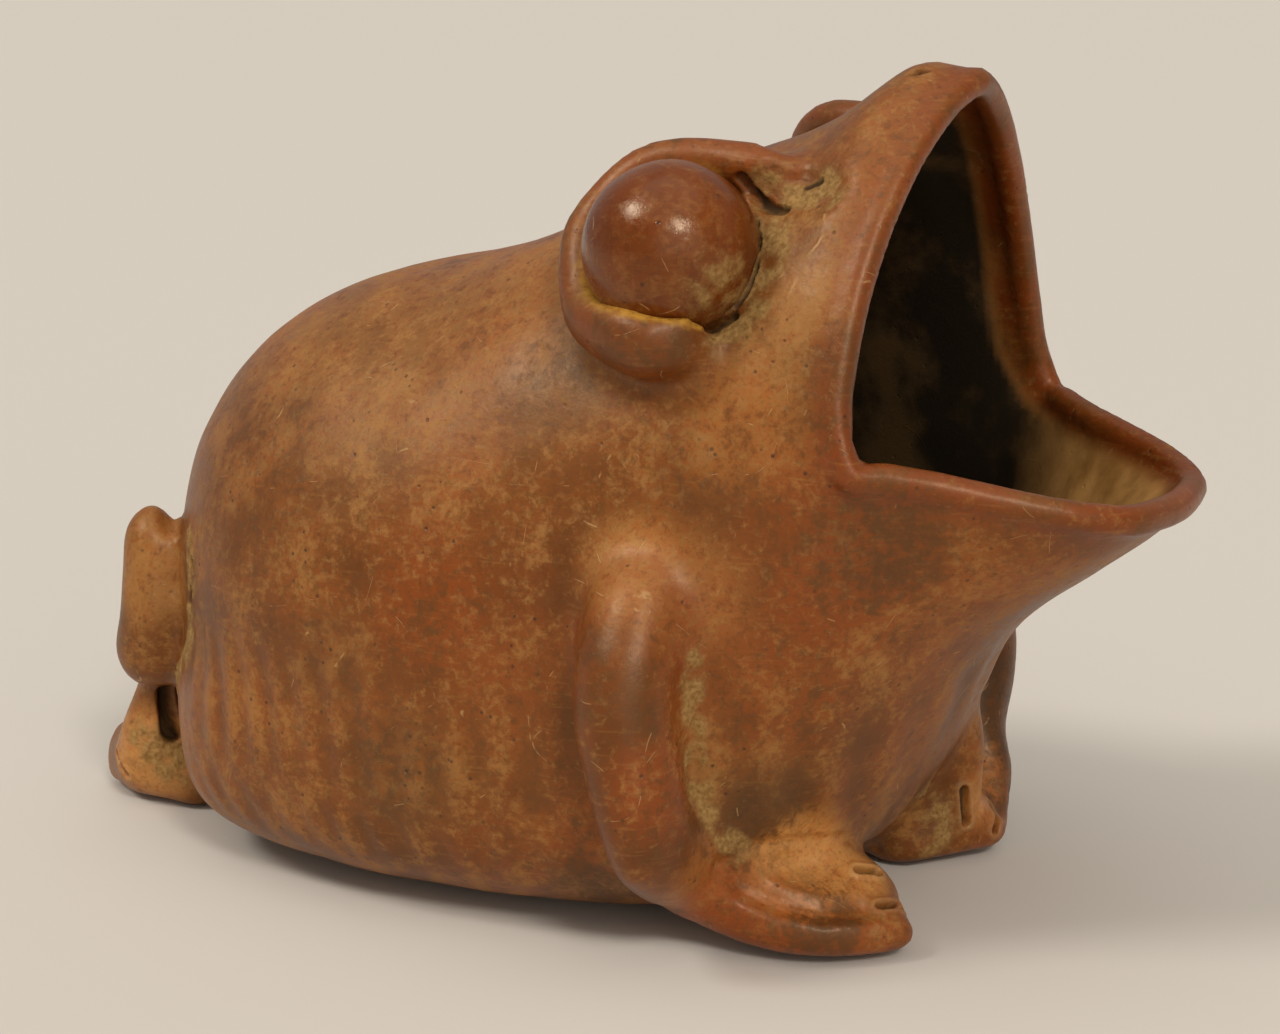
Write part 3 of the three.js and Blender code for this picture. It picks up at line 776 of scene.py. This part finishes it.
def refine(piece, names, reach):
    """Cut the faces near these marks in four."""
    points = points_of(piece)
    near = np.zeros(len(points), bool)
    for name in names:
        near |= off_route(points, marks[name]) < reach
    bpy.context.tool_settings.mesh_select_mode = (False, False, True)
    picked = [all(near[i] for i in face.vertices) for face in piece.data.polygons]
    piece.data.polygons.foreach_set("select", picked)
    with editing(piece):
        bpy.ops.mesh.subdivide(number_cuts=1, smoothness=0)
    return sum(picked)


fine = [name for name in marks if any(word in name for word in FINE_MARKS)]
print("refined", refine(clay, marks, 7 * MM), "and", refine(clay, fine, 3.4 * MM), "faces")

# %% [markdown]
# The real slits were pressed with a stick, the cracks opened in the fire, and soil caked in the creases. Each
# point near a mark is moved in or out by how far it is from the line. A boolean could cut the slits, but its
# edges would be knife-sharp, where those of pressed clay are rounded and a little raised.

# %% Cut and crust the marks
# The last column is the half width of the painted shade at the bottom of each cut.
CUTS = (  # word, half width, soft edge and depth, and the half width of the dark at the bottom, in mm
    ("eye_crack", 0.1, 0.8, 1.5, 0.1),
    ("upper_gap", 0.9, 1.2, 3.4, 0.7),
    ("lower_gap", 0.8, 1.2, 3.0, 0.9),
    ("heel_gap", 1.8, 1.8, 5.0, 2.4),
    ("hollow", 2.0, 7.0, 2.2, None),
    ("small_hole", 0.5, 0.9, 2.4, 0.4),
    ("web_crease", 0.3, 2.4, 0.7, None),
    ("web_groove", 0.6, 4.8, 2.0, None),
    ("thigh_hole", 0.6, 0.9, 2.4, 0.4),
    ("slit", 0.75, 0.7, 2.3, 0.5),
    ("nostril", 0.6, 0.9, 1.8, 0.5),
)
CUT_SHADE_EDGE = 0.7 * MM
CRUSTS = (  # word, half width and soft edge in mm
    ("armpit_crust", 1.6, 3.5), ("thigh_crust", 2.0, 4.0), ("heel_patch", 4.0, 7.0), ("sandy_edge", 0.5, 6.0),
    ("hollow", 3.5, 6.0), ("far_web_crust", 1.0, 7.0), ("eye_crack", 1.0, 2.0),
)
points = points_of(clay)
off_mark = {name: off_route(points, route) for name, route in marks.items()}


def near_marks(word, reach, soft):
    """1 within reach of the marks whose name holds a word, 0 further off than reach and soft."""
    gap = np.min([off_mark[name] for name in marks if word in name], axis=0)
    return ease(reach + soft - gap, 0, soft)


def detail(mask, size, seed):
    """Noise worked out only where a mask is not 0."""
    values = np.zeros(len(points))
    where = np.nonzero(mask > 0.01)[0]
    values[where] = bumps(points[where], size, seed)
    return values


def crackly(mask, least):
    """A mask that comes and goes along its line, but never falls below this share."""
    return mask * np.clip(0.7 + 1.3 * detail(mask, 3 * MM, 61.0), least, 1)


depth = np.zeros(len(points))
# Painted shade at the bottom of the slits, cracks and gaps, handed to the material as a number.
dug = np.zeros(len(points))
for word, half, soft, deep, dark in CUTS:
    cut = near_marks(word, half * MM, soft * MM)
    bottom = near_marks(word, dark * MM, CUT_SHADE_EDGE) if dark else dug
    if word == "eye_crack":
        cut = crackly(cut, 0.1)
        bottom = crackly(bottom, 0)
    depth = np.maximum(depth, deep * MM * cut)
    dug = np.maximum(dug, bottom)
rim = near_marks("slit", 1.9 * MM, 1.4 * MM) - near_marks("slit", 0.9 * MM, 0.8 * MM)
broken = np.clip(0.5 + 1.4 * detail(near_marks("root", 1 * MM, 1 * MM), 4 * MM, 51.0), 0, 1)
root = near_marks("root", 0.1 * MM, 0.45 * MM) * broken
crust = np.max([near_marks(word, half * MM, soft * MM) for word, half, soft in CRUSTS], axis=0)
crust *= np.clip(0.65 + 1.2 * detail(crust, 5 * MM, 21.0), 0, 1)
rough = detail(crust, 2.4 * MM, 31.0) + 0.7 * detail(crust, 1.2 * MM, 41.0)

raised = 0.45 * MM * np.clip(rim, 0, 1) + 0.15 * MM * root
raised += crust * (0.25 * MM + 0.42 * MM * rough)
firm = ease(points[:, 2], 1 * MM, SOLE)
points += (np.clip(firm + 0.3, 0, 1) * (raised - depth))[:, None] * normals_of(clay)
points[:, 2] = np.maximum(points[:, 2], 0.2 * MM)
move_points(clay, points)
print("deepest cut", round(float(depth.max() / MM), 1), "mm")

# %% [markdown]
# ## Where the clay is red, pale, sooty or crusted, and where shade is painted
# The pot's colours follow its making and its use: red slip on the lips, lids and legs, paler areas on the
# shoulders and feet and where the skin faces up, smudges, a few of which are painted shade, ochre soil in the
# creases, painted shade at the bottom of the slits and cracks, and a dark inside, partly soot and partly painted
# shade. Each is a number on every point of the clay, which the materials read later. A painted picture has a
# fixed sharpness, while numbers and noise have none. First, the inside is what is nearer to the inner skin of
# the pot's wall than to its outer one.

# %% Tell the inside from the outside
SPINE = np.array([(-0.06, MIDDLE, 0.08), (0.03, MIDDLE, 0.09), (0.115, MIDDLE, 0.145)])
points = points_of(clay)
centres = np.array([face.center for face in pot.data.polygons])
facing = np.array([face.normal for face in pot.data.polygons])
outwards = centres - nearest_on(centres, SPINE)[0]
outer = np.sum(outwards * facing, axis=1) > 0
pot_points = [v.co for v in pot.data.vertices]


def from_skin(kept):
    """How far each point is from the faces of the pot that are kept."""
    faces = [tuple(face.vertices) for face, keep in zip(pot.data.polygons, kept) if keep]
    tree = BVHTree.FromPolygons(pot_points, faces)
    return np.array([tree.find_nearest(Vector(p))[3] for p in points])


off_lip = off_route(points, lip_route)
inside = ease(from_skin(outer) - from_skin(~outer), -1 * MM, 1.5 * MM)
slipped = ease(13 * MM - off_lip, 0, 4 * MM) * ease(inside, 0, 0.4)
slip_inside = LIP_RADIUS + 3 * MM * ease(points[:, 2], 0.118, 0.142)    # how far the red slip goes in
inside *= ease(off_lip - slip_inside, 0, 5 * MM)
# Deep in the head and high under its roof, the inside darkens to near black: partly soot, partly painted shade.
deep_shaded = np.maximum(ease(0.118 - points[:, 0], 0, 0.03), ease(points[:, 2] - 0.116, 0, 0.02))
print("inside", int((inside > 0.5).sum()), "points")

# %% [markdown]
# The clouds that the fire and the soil left are soft blotches, placed by the photograph and repeated on the
# hidden side. Noise alone would scatter them evenly, but on the real pot they sit where the flame or a
# neighbour in the kiln touched it.

# %% Number the clay
RED_BLOTCHES = ((800, 540, 22, 0.5), (740, 600, 20, 0.5), (520, 640, 24, 0.45), (430, 600, 22, 0.4))
ORANGE_BLOTCHES = (  # x and y in the picture, radius in mm, strength
    (850, 600, 22, 0.7), (790, 690, 20, 0.6), (900, 560, 20, 0.6), (430, 610, 18, 0.6), (590, 840, 14, 0.7),
    (660, 790, 12, 0.7), (820, 500, 18, 0.5), (500, 860, 20, 0.4), (720, 905, 13, 0.9), (780, 928, 13, 0.9),
    (845, 935, 11, 0.8),
)
PALE_BLOTCHES = (
    (628, 570, 13, 0.5), (690, 590, 14, 0.3), (800, 868, 14, 1.3), (850, 878, 9, 0.9), (150, 755, 14, 0.9),
    (150, 580, 12, 0.4), (750, 420, 16, 0.3), (700, 880, 10, 0.5), (810, 300, 10, 0.3),
)
# Dark smudges: mostly soot, but those on the far foreleg, on the back's left side and on the lid's lower end are
# painted shade.
SMUDGES_AND_SHADE = (
    (596, 700, 7, 0.35), (640, 720, 6, 0.4), (588, 650, 6, 0.5), (610, 335, 9, 0.5), (660, 350, 8, 0.4),
    (400, 770, 14, 0.6), (600, 890, 12, 0.8), (560, 370, 14, 0.4), (330, 660, 12, 0.35), (880, 545, 16, 0.5),
    (700, 480, 12, 0.3), (700, 850, 10, 0.3), (255, 470, 24, 0.35), (830, 400, 14, 0.3), (1000, 710, 18, 1.0),
    (1000, 780, 12, 0.8),
)


def blotches(table):
    """Soft blotches at points of the picture, on both sides of the frog."""
    total = np.zeros(len(points))
    for x, y, radius, strength in table:
        place, _ = spot(clay_surface, x, y)
        for centre in (place, mirrored(place)):
            far = np.linalg.norm(points - centre, axis=1)
            total = np.maximum(total, strength * ease(radius * 1.5 * MM - far, 0, radius * MM))
    return total


from_coils = gaps_to(points, [*coils.values(), *lumps], 8 * MM)
on_lid = ease(4 * MM - gaps_to(points, [coils["eyelid", side] for side in SIDES], 5 * MM), 0, 2.5 * MM)
on_arm = ease(3 * MM - gaps_to(points, [coils["foreleg", side] for side in SIDES], 5 * MM), 0, 2 * MM)
off_ball = gaps_to(points, eyeballs.values(), 4 * MM)
# Paler where the skin faces up, more so higher on the body and less on the head.
on_back = ease(normals_of(clay)[:, 2] + 0.004 / MM * (points[:, 2] - 0.09), 0.15, 1.0)
reddened = ease(9 * MM - off_lip, 0, 6 * MM) + slipped + 0.8 * on_lid + 0.5 * on_arm
paler_facing_up = 0.25 * on_back * (1 - 0.6 * ease(points[:, 0], 0.01, 0.05))
numbers = {
    "inside": inside,
    "deep_inside": inside * ease(off_lip, 2 * MM, 8 * MM) * deep_shaded,
    "crust": crust,
    "gold": ease(3 * MM - off_ball, 0, 1.5 * MM) * on_lid * (1 - near_marks("upper_gap", 3 * MM, 4 * MM)),
    "dug": dug,
    "rim": np.clip(0.35 * rim + 0.9 * root, 0, 1),
    "red": np.clip(reddened + blotches(RED_BLOTCHES), 0, 1),
    "orange": blotches(ORANGE_BLOTCHES),
    "pale": np.clip(paler_facing_up + blotches(PALE_BLOTCHES), 0, 1),
    "smudge": blotches(SMUDGES_AND_SHADE),
    "stripes": finger_stripes(points) * ease(from_coils, 1 * MM, 6 * MM),
    "whole": np.ones(len(points)),
}


def write_number(piece, name, values):
    layer = piece.data.attributes.get(name) or piece.data.attributes.new(name, "FLOAT", "POINT")
    layer.data.foreach_set("value", np.asarray(values, dtype=np.float32))


def read_number(piece, name):
    values = np.empty(len(piece.data.vertices), dtype=np.float32)
    piece.data.attributes[name].data.foreach_get("value", values)
    return values


for name, values in numbers.items():
    write_number(clay, name, values)
    print(name, "from", round(float(values.min()), 2), "to", round(float(values.max()), 2))

# %% [markdown]
# ## Cut the lump back into named pieces
#
# A part that others will reuse is easier to handle when the lids and legs are pieces of their own. Each coil,
# swollen a little, is used as a cutter: what lies inside it is that piece, and the pot keeps the rest. The
# shading across a cut comes from the uncut clay, so that no line shows.

# %% Cut the pieces out
CUT_AROUND = 1.4 * MM
uncut_surface = surface_of(clay)
uncut_faces = [tuple(face.vertices) for face in clay.data.polygons]
uncut_points = points_of(clay)
uncut_normals = normals_of(clay)


def take_out(whole, cutter, name):
    """Cut a named piece out of the whole, which keeps the rest."""
    taken = copy_of(whole, name)
    finish_with(taken, "BOOLEAN", object=cutter, operation="INTERSECT", solver="MANIFOLD")
    finish_with(whole, "BOOLEAN", object=cutter, operation="DIFFERENCE", solver="MANIFOLD")
    return taken


made = {}
for (kind, side), coil in coils.items():
    finish_with(coil, "DISPLACE", strength=CUT_AROUND, mid_level=0)
    finish_with(coil, "REMESH", mode="VOXEL", voxel_size=1.2 * MM, adaptivity=0)
    made[side + "_" + kind] = take_out(clay, coil, side + "_" + kind)
    print(side, kind, len(made[side + "_" + kind].data.vertices), "points")

# %% [markdown]
# Belly and head part at the neck, on the plane where the measured belly ends. A big block behind this plane
# cuts them: what lies in it is the belly, with everything that is still fused to it.

# %% Part belly and head at the neck
BLOCK = 0.6
rim_points = np.array([v.co for v in frame["nodes"]["belly_shell"].data.vertices])
head_surface = surface_of(frame["nodes"]["head_shell"])
rim_points = rim_points[[head_surface.find_nearest(Vector(p))[3] < 0.6 * MM for p in rim_points]]
neck = rim_points.mean(axis=0)
_, _, axes = np.linalg.svd(rim_points - neck)
forward = Vector(axes[2]) * (1 if axes[2][0] > 0 else -1)
bpy.ops.mesh.primitive_cube_add(
    size=BLOCK,
    location=Vector(neck) - forward * BLOCK / 2,
    rotation=forward.to_track_quat("X", "Z").to_euler(),
)
block = bpy.context.object
bpy.ops.object.transform_apply(location=True, rotation=True, scale=True)
made["hollow_belly"] = take_out(clay, block, "hollow_belly")
clay.name = "gaping_head"
made["gaping_head"] = clay
print("neck at", np.round(neck, 4))

# %% [markdown]
# ## The eyeballs
#
# Two balls of clay, rubbed to a shine. They stay apart from the lump, so the crease round them is a real gap. A
# little unevenness keeps them from looking turned on a lathe, and low in front, where soil clung, they are
# pitted.

# %% Round off the eyeballs
SOILED = (722, 292)
soil_at = {}
for side, ball in eyeballs.items():
    ball.name = side + "_eyeball"
    round_off(ball)
    finish_with(ball, "SUBSURF", levels=1)
    if side == "right":
        soil_at["right"], _ = spot(surface_of(ball), *SOILED)
        soil_at["left"] = other_eye(soil_at["right"])
    points = points_of(ball)
    patch = ease(15 * MM - np.linalg.norm(points - soil_at[side], axis=1), 0, 9 * MM)
    patch *= np.clip(0.35 + 0.7 * bumps(points, 4 * MM, 17.0), 0, 1)
    shift = 0.22 * MM * bumps(points, 14 * MM, 9.0) + patch * 0.12 * MM * bumps(points, 1.6 * MM, 13.0)
    points += shift[:, None] * normals_of(ball)
    move_points(ball, points)
    write_number(ball, "crust", patch)
    made[side + "_eyeball"] = ball
    print(ball.name, len(ball.data.polygons), "faces")

# %% [markdown]
# ## Every piece in its place
#
# Each piece stands for its measured piece and rides on the one body of the pot. Small leftovers of the cutting
# are taken off, and the shading of the uncut clay is handed down.

# %% Put the pieces in their places
STANDS_FOR = {"hollow_belly": "belly_shell", "gaping_head": "head_shell"}
SLOTS = {"hollow_belly": "tan_clay", "right_eyeball": "red_clay", "left_eyeball": "red_clay"}


def drop_crumbs(piece):
    """Delete all but the biggest connected part of a piece."""
    net = bmesh.new()
    net.from_mesh(piece.data)
    left = set(net.verts)
    parts = []
    while left:
        part = [left.pop()]
        for vert in part:
            for edge in vert.link_edges:
                other = edge.other_vert(vert)
                if other in left:
                    left.remove(other)
                    part.append(other)
        parts.append(part)
    parts.sort(key=len)
    crumbs = [vert for part in parts[:-1] for vert in part]
    bmesh.ops.delete(net, geom=crumbs, context="VERTS")
    net.to_mesh(piece.data)
    net.free()
    return len(crumbs)


def mend_cut_edge(piece):
    """Give the points along a cut the numbers and the shading that the uncut clay has there."""
    points = points_of(piece)
    shading = normals_of(piece)
    whole = read_number(piece, "whole")
    layers = {name: read_number(piece, name) for name in numbers}
    for i in range(len(points)):
        place, _, face, _ = uncut_surface.find_nearest(Vector(points[i]), 0.05 * MM)
        if place is None:
            continue
        corners = list(uncut_faces[face])
        near = 1 / (np.linalg.norm(uncut_points[corners] - points[i], axis=1) + 0.001 * MM)
        near /= near.sum()
        shading[i] = near @ uncut_normals[corners]
        if whole[i] < 0.999:
            for name, values in numbers.items():
                layers[name][i] = near @ values[corners]
    for name in numbers:
        write_number(piece, name, layers[name])
    shading /= np.linalg.norm(shading, axis=1)[:, None]
    piece.data.normals_split_custom_set_from_vertices(shading.astype(np.float32))


for name, piece in made.items():
    side, _, kind = name.partition("_")
    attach(piece, "root")
    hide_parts(STANDS_FOR.get(name, kind + "_" + side))
    crumbs = drop_crumbs(piece)
    pick(piece)
    bpy.ops.object.shade_smooth()
    if kind != "eyeball":
        mend_cut_edge(piece)
    triangles = sum(len(face.vertices) - 2 for face in piece.data.polygons)
    print(name, triangles, "triangles,", crumbs, "points of crumbs dropped")
for scrap in [pot, block, *coils.values(), *lumps]:
    bpy.data.objects.remove(scrap)

# %% [markdown]
# ## Burnished clay
#
# The clay was covered with a thin red-brown slip and rubbed with a pebble. Through the ages it got clouds of
# ochre, hair-thin pale lines where roots lay, dark pits and smudges; a few of the smudges, the bottoms of the
# slits and the deep inside carry painted shade. Each is a layer of noise in one shader that all pieces share.
# The helpers below add a node and name what goes into it.


# %% Helpers for materials
def linear(red, green, blue):
    """A colour as the eye reads it on a screen, 0 to 255, turned into the light it gives off."""
    share = [c / 255 for c in (red, green, blue)]
    return (*(c / 12.92 if c < 0.04 else ((c + 0.055) / 1.055) ** 2.4 for c in share), 1)


class Recipe:
    """A material under way."""

    def __init__(self, name):
        self.material = bpy.data.materials.new(name)
        self.material.use_nodes = True
        self.tree = self.material.node_tree
        self.shader = self.tree.nodes["Principled BSDF"]
        self.place = self.add("TexCoord").outputs["Object"]

    def add(self, kind, inputs=(), **settings):
        node = self.tree.nodes.new("ShaderNode" + kind)
        for name, value in settings.items():
            setattr(node, name, value)
        for name, value in dict(inputs).items():
            self.give(node.inputs[name], value)
        return node

    def give(self, socket, value):
        if isinstance(value, bpy.types.NodeSocket):
            self.tree.links.new(value, socket)
        else:
            socket.default_value = value

    def math(self, operation, a, b=0.0, clamp=False):
        return self.add("Math", {0: a, 1: b}, operation=operation, use_clamp=clamp).outputs[0]

    def times(self, a, b):
        return self.math("MULTIPLY", a, b)

    def plus(self, first, *others):
        for other in others:
            first = self.math("ADD", first, other)
        return first

    def swing(self, cloud, strength):
        """Noise around 0.5 turned into noise around 0, of this strength."""
        return self.times(self.math("SUBTRACT", cloud, 0.5), strength)

    def mix(self, share, low, high):
        return self.add("Mix", {0: share, 6: low, 7: high}, data_type="RGBA").outputs[2]

    def step(self, value, low, high, top=1.0):
        """0 below low, top above high."""
        inputs = {"Value": value, "From Min": low, "From Max": high, "To Max": top}
        return self.add("MapRange", inputs, interpolation_type="SMOOTHSTEP").outputs[0]

    def cloud(self, size, stretch=(1, 1, 1), turn=(0, 0, 0), detail=3.0, seed=0.0, warp=0.0, rough=0.55):
        """Noise around 0.5 with lumps of this size in metres."""
        mapping = self.add("Mapping", {
            "Vector": self.place, "Location": (seed, seed, seed), "Rotation": turn,
            "Scale": tuple(1 / (size * s) for s in stretch),
        })
        node = self.add("TexNoise", {
            "Vector": mapping.outputs[0], "Scale": 1.0, "Detail": detail,
            "Roughness": rough, "Distortion": warp,
        })
        return node.outputs["Fac"]

    def number(self, name):
        return self.add("Attribute", attribute_name=name, attribute_type="GEOMETRY").outputs["Fac"]


# %% [markdown]
# The layers lie on the clay in the order they came on it. First the ground with its paler, redder and more
# orange areas, then the ochre where the polish wore off, and the olive and black smudges, a few of them painted
# shade. One noise could tint everything at once, but then wear and stains would never differ in sharpness.

# %% Ground, wear and stains
OCHRE = linear(162, 112, 56)
PALE = linear(206, 144, 78)
ORANGE = linear(158, 72, 18)
OLIVE = linear(82, 53, 22)
SOOT_AND_SHADE = linear(54, 32, 20)
RED_SLIP = linear(124, 50, 13)


class BurnishedClay(Recipe):
    def __init__(self, name, cloudiness):
        super().__init__(name)
        self.cloudiness = cloudiness
        self.big = self.cloud(0.05, seed=1.3, detail=2)
        self.patches = self.cloud(0.015, stretch=(1, 1, 1.3), turn=(0.2, 0.3, 0), seed=4.1, detail=5)
        self.flecks = self.cloud(
            0.0026, stretch=(1.1, 1.1, 1), turn=(0.4, 0.5, 0), seed=8.2, detail=6, warp=0.3, rough=0.7
        )
        self.spots = self.cloud(0.0032, seed=17.2, detail=6, warp=0.3, rough=0.7)
        self.grain = self.cloud(0.0011, seed=2.6, detail=2)
        self.pale = self.number("pale")
        self.stripes = self.number("stripes")
        self.smudge = self.number("smudge")
        self.red = self.times(self.number("red"), self.step(self.patches, 0.28, 0.6))

    def lay(self, share, colour):
        """Cover this share of the ground with a colour."""
        self.ground = self.mix(share, self.ground, colour)


def lay_ground(clay, deep, warm):
    """Clay between a deep and a warm colour, with its pale, orange and red areas."""
    share = clay.plus(clay.times(clay.pale, 0.8), clay.big, clay.times(clay.patches, 0.9))
    clay.ground = clay.mix(clay.step(share, 0.65, 1.75), deep, warm)
    clay.lay(clay.times(clay.pale, 0.72), PALE)
    reddish = clay.step(clay.plus(clay.spots, clay.times(clay.big, 0.6)), 0.66, 0.96, 0.5 * clay.cloudiness)
    clay.lay(clay.math("MAXIMUM", reddish, clay.times(clay.number("orange"), 0.7)), ORANGE)
    clay.lay(clay.times(clay.red, 0.7), RED_SLIP)


def lay_wear(clay):
    """Ochre where the polish wore off, in flecks and in fine level strokes."""
    wear = clay.plus(
        clay.flecks, clay.swing(clay.patches, 0.55),
        clay.times(clay.stripes, 0.085), clay.times(clay.red, -0.1),
    )
    worn = clay.step(wear, 0.44, 0.7, 0.6 * clay.cloudiness)
    clay.lay(worn, OCHRE)
    strokes = clay.cloud(0.0012, stretch=(10, 10, 1), seed=23.7, detail=4, warp=0.2)
    clay.lay(clay.step(strokes, 0.56, 0.72, 0.24 * clay.cloudiness), OCHRE)
    return worn


def lay_stains(clay):
    """Olive stains, black smudges, a few of them painted shade, and the dark between the grains."""
    stain = clay.plus(
        clay.spots, clay.swing(clay.patches, -0.45), clay.times(clay.smudge, 0.2),
        clay.times(clay.stripes, -0.06), clay.times(clay.pale, -0.16),
    )
    clay.lay(clay.step(stain, 0.46, 0.7, 0.66 * clay.cloudiness), OLIVE)
    # Black smudges: soot, and painted shade on the far foreleg, the back's left side and the lid's lower end.
    clay.lay(clay.times(clay.smudge, clay.step(clay.flecks, 0.36, 0.62, 0.65)), SOOT_AND_SHADE)
    clay.lay(clay.step(clay.grain, 0.5, 0.3, 0.3), OLIVE)


# %% [markdown]
# Roots left hair-thin pale lines, and grains that fell out left pits. A line of even width is where a smooth
# noise crosses its middle value. A wave texture could draw lines too, but all of them side by side. The soil in
# the creases, the gold slip in the eye sockets, the painted shade in the slits and the dark inside, partly soot
# and partly painted shade, cover what is below.

# %% Roots, pits, soil and the inside
CRUST_PALE = linear(164, 128, 74)
CRUST_DARK = linear(124, 90, 44)
GOLD = linear(190, 138, 54)
ROOT_PALE = linear(196, 154, 100)
INSIDE_BROWN = linear(198, 144, 78)
INSIDE_OLIVE = linear(142, 98, 44)
INSIDE_SHADE_AND_SOOT = linear(20, 11, 2)
CUT_SHADE_COLOUR = linear(36, 24, 10)
ROOTS = (  # width of the line, size of its bends, seed and stretch
    (0.0006, 0.055, 12.5, (1, 1, 2)), (0.0008, 0.045, 15.1, (2, 1, 1)), (0.0007, 0.05, 19.4, (1, 2, 1)),
)
PITS_PER_METRE = 230.0


def lay_roots(clay):
    roots = 0.0
    for width, size, seed, stretch in ROOTS:
        line = clay.cloud(size, stretch=stretch, turn=(0.3 * seed, 0.5, seed), seed=seed, detail=1)
        line = clay.math("ABSOLUTE", clay.math("SUBTRACT", line, 0.5))
        piecewise = clay.step(clay.cloud(0.006, seed=seed + 3, detail=3), 0.56, 0.64)
        line = clay.times(clay.step(line, width * 2, width * 0.4), piecewise)
        roots = clay.math("MAXIMUM", roots, line)
    clay.lay(clay.times(roots, 0.45), ROOT_PALE)
    clay.lay(clay.times(clay.number("rim"), 0.6), ROOT_PALE)
    return roots


def lay_pits(clay):
    cells = clay.add("TexVoronoi", {"Vector": clay.place, "Scale": PITS_PER_METRE}, feature="F1")
    pits = clay.times(clay.step(cells.outputs["Distance"], 0.16, 0.06), clay.step(clay.patches, 0.42, 0.6))
    clay.lay(clay.times(pits, 0.75), SOOT_AND_SHADE)
    return pits


def lay_soil(clay, lumpy):
    """Soil in the creases, gold slip in the eye sockets and painted shade in the slits."""
    covered = clay.step(clay.plus(clay.number("crust"), clay.times(clay.flecks, 0.9)), 0.5, 1.25, 0.85)
    clay.lay(covered, clay.mix(clay.step(lumpy, 0.3, 0.7), CRUST_DARK, CRUST_PALE))
    clay.lay(clay.times(clay.number("gold"), clay.step(clay.flecks, 0.2, 0.6)), GOLD)
    # Painted shade at the bottom of the slits, cracks and gaps.
    clay.lay(clay.times(clay.number("dug"), 0.9), CUT_SHADE_COLOUR)
    return covered


def lay_inside(clay):
    upright = clay.cloud(0.007, stretch=(1, 1, 2.2), seed=14.2, detail=6)
    brown = clay.mix(clay.step(clay.plus(upright, clay.patches), 0.7, 1.35), INSIDE_OLIVE, INSIDE_BROWN)
    # Near black deep inside: partly soot, partly painted shade of the hollow.
    dark = clay.mix(clay.step(clay.plus(clay.big, clay.patches), 0.95, 1.25, 0.12), INSIDE_SHADE_AND_SOOT, INSIDE_BROWN)
    clay.lay(clay.number("inside"), clay.mix(clay.number("deep_inside"), brown, dark))


# %% [markdown]
# Polished clay shines softly. It is duller where the polish wore off or soil lies, and inside, where no pebble
# reached. Grains, roots and pits are too fine for the mesh, so a bump gives them relief.


# %% The burnished clay itself
def burnished(name, deep, warm, gloss, cloudiness=1.0):
    """Burnished clay between a deep and a warm ground colour."""
    clay = BurnishedClay(name, cloudiness)
    lumpy = clay.cloud(0.0012, seed=10.7, detail=5)
    lay_ground(clay, deep, warm)
    worn = lay_wear(clay)
    lay_stains(clay)
    roots = lay_roots(clay)
    pits = lay_pits(clay)
    covered = lay_soil(clay, lumpy)
    lay_inside(clay)
    clay.give(clay.shader.inputs["Base Color"], clay.ground)

    bare = clay.math("MAXIMUM", clay.number("inside"), clay.number("dug"))
    dull = clay.plus(
        clay.times(worn, 0.3), clay.times(covered, 0.45), clay.times(bare, 0.4), clay.times(clay.spots, 0.2)
    )
    clay.give(clay.shader.inputs["Roughness"], clay.math("ADD", dull, gloss - 0.1, clamp=True))
    clay.shader.inputs["Specular Tint"].default_value = (1, 0.8, 0.56, 1)

    height = clay.plus(
        clay.times(clay.grain, 0.3), clay.times(clay.flecks, 0.8), clay.times(roots, 0.4),
        clay.times(pits, -0.9), clay.times(clay.times(covered, lumpy), 3.0),
    )
    bump = clay.add("Bump", {"Height": height, "Strength": 1.0, "Distance": 0.13 * MM})
    clay.give(clay.shader.inputs["Normal"], bump.outputs[0])
    return clay.material


DEEP = linear(92, 47, 10)
WARM = linear(148, 96, 40)
finishes = {
    "tan_clay": burnished("tan_clay", DEEP, WARM, 0.37),
    "orange_clay": burnished("orange_clay", DEEP, WARM, 0.37),
    "red_clay": burnished("red_clay", linear(92, 39, 7), linear(130, 64, 17), 0.17, 0.4),
}
for name, piece in made.items():
    piece.data.materials.clear()
    piece.data.materials.append(finishes[SLOTS.get(name, "orange_clay")])
print("finishes", list(finishes))

# %% [markdown]
# ## The studio
#
# A plain pale paper floor, an even soft light from all round and four lamps: from high behind the camera's left
# shoulder, from the right, from above and from low in front. They are far-off suns with a wide disc, so the
# floor is as bright in the distance as it is close by.

# %% Floor and light
LAMPS = (  # name, direction towards it, strength, width of its disc in degrees, colour
    ("key_light", (-0.7, -0.75, 1.1), 1.0, 16, (1, 0.97, 0.93)),
    ("side_light", (1.25, -1.1, 1.3), 0.95, 11, (1, 0.97, 0.94)),
    ("top_light", (0.1, -0.35, 1.5), 0.7, 70, (1, 0.97, 0.93)),
    ("front_light", (0.9, -1.0, 0.45), 0.58, 60, (1, 0.97, 0.93)),
)
bpy.ops.mesh.primitive_plane_add(size=40, location=(0, 0, 0))
floor = bpy.context.object
floor.name = "floor"
paper = Recipe("floor_paper")
paper.shader.inputs["Base Color"].default_value = linear(215, 207, 195)
paper.shader.inputs["Roughness"].default_value = 0.9
floor.data.materials.append(paper.material)

world = bpy.data.worlds.new("studio")
bpy.context.scene.world = world
world.use_nodes = True
background = world.node_tree.nodes["Background"]
background.inputs["Color"].default_value = (1.0, 0.97, 0.93, 1)
background.inputs["Strength"].default_value = 0.31
for name, towards, strength, width, colour in LAMPS:
    light = bpy.data.lights.new(name, "SUN")
    light.energy = strength
    light.angle = math.radians(width)
    light.color = colour
    holder = bpy.data.objects.new(name, light)
    holder.rotation_euler = Vector(towards).to_track_quat("Z", "Y").to_euler()
    bpy.context.scene.collection.objects.link(holder)
bpy.context.scene.view_settings.view_transform = "Standard"
print("lamps", [name for name, *_ in LAMPS])
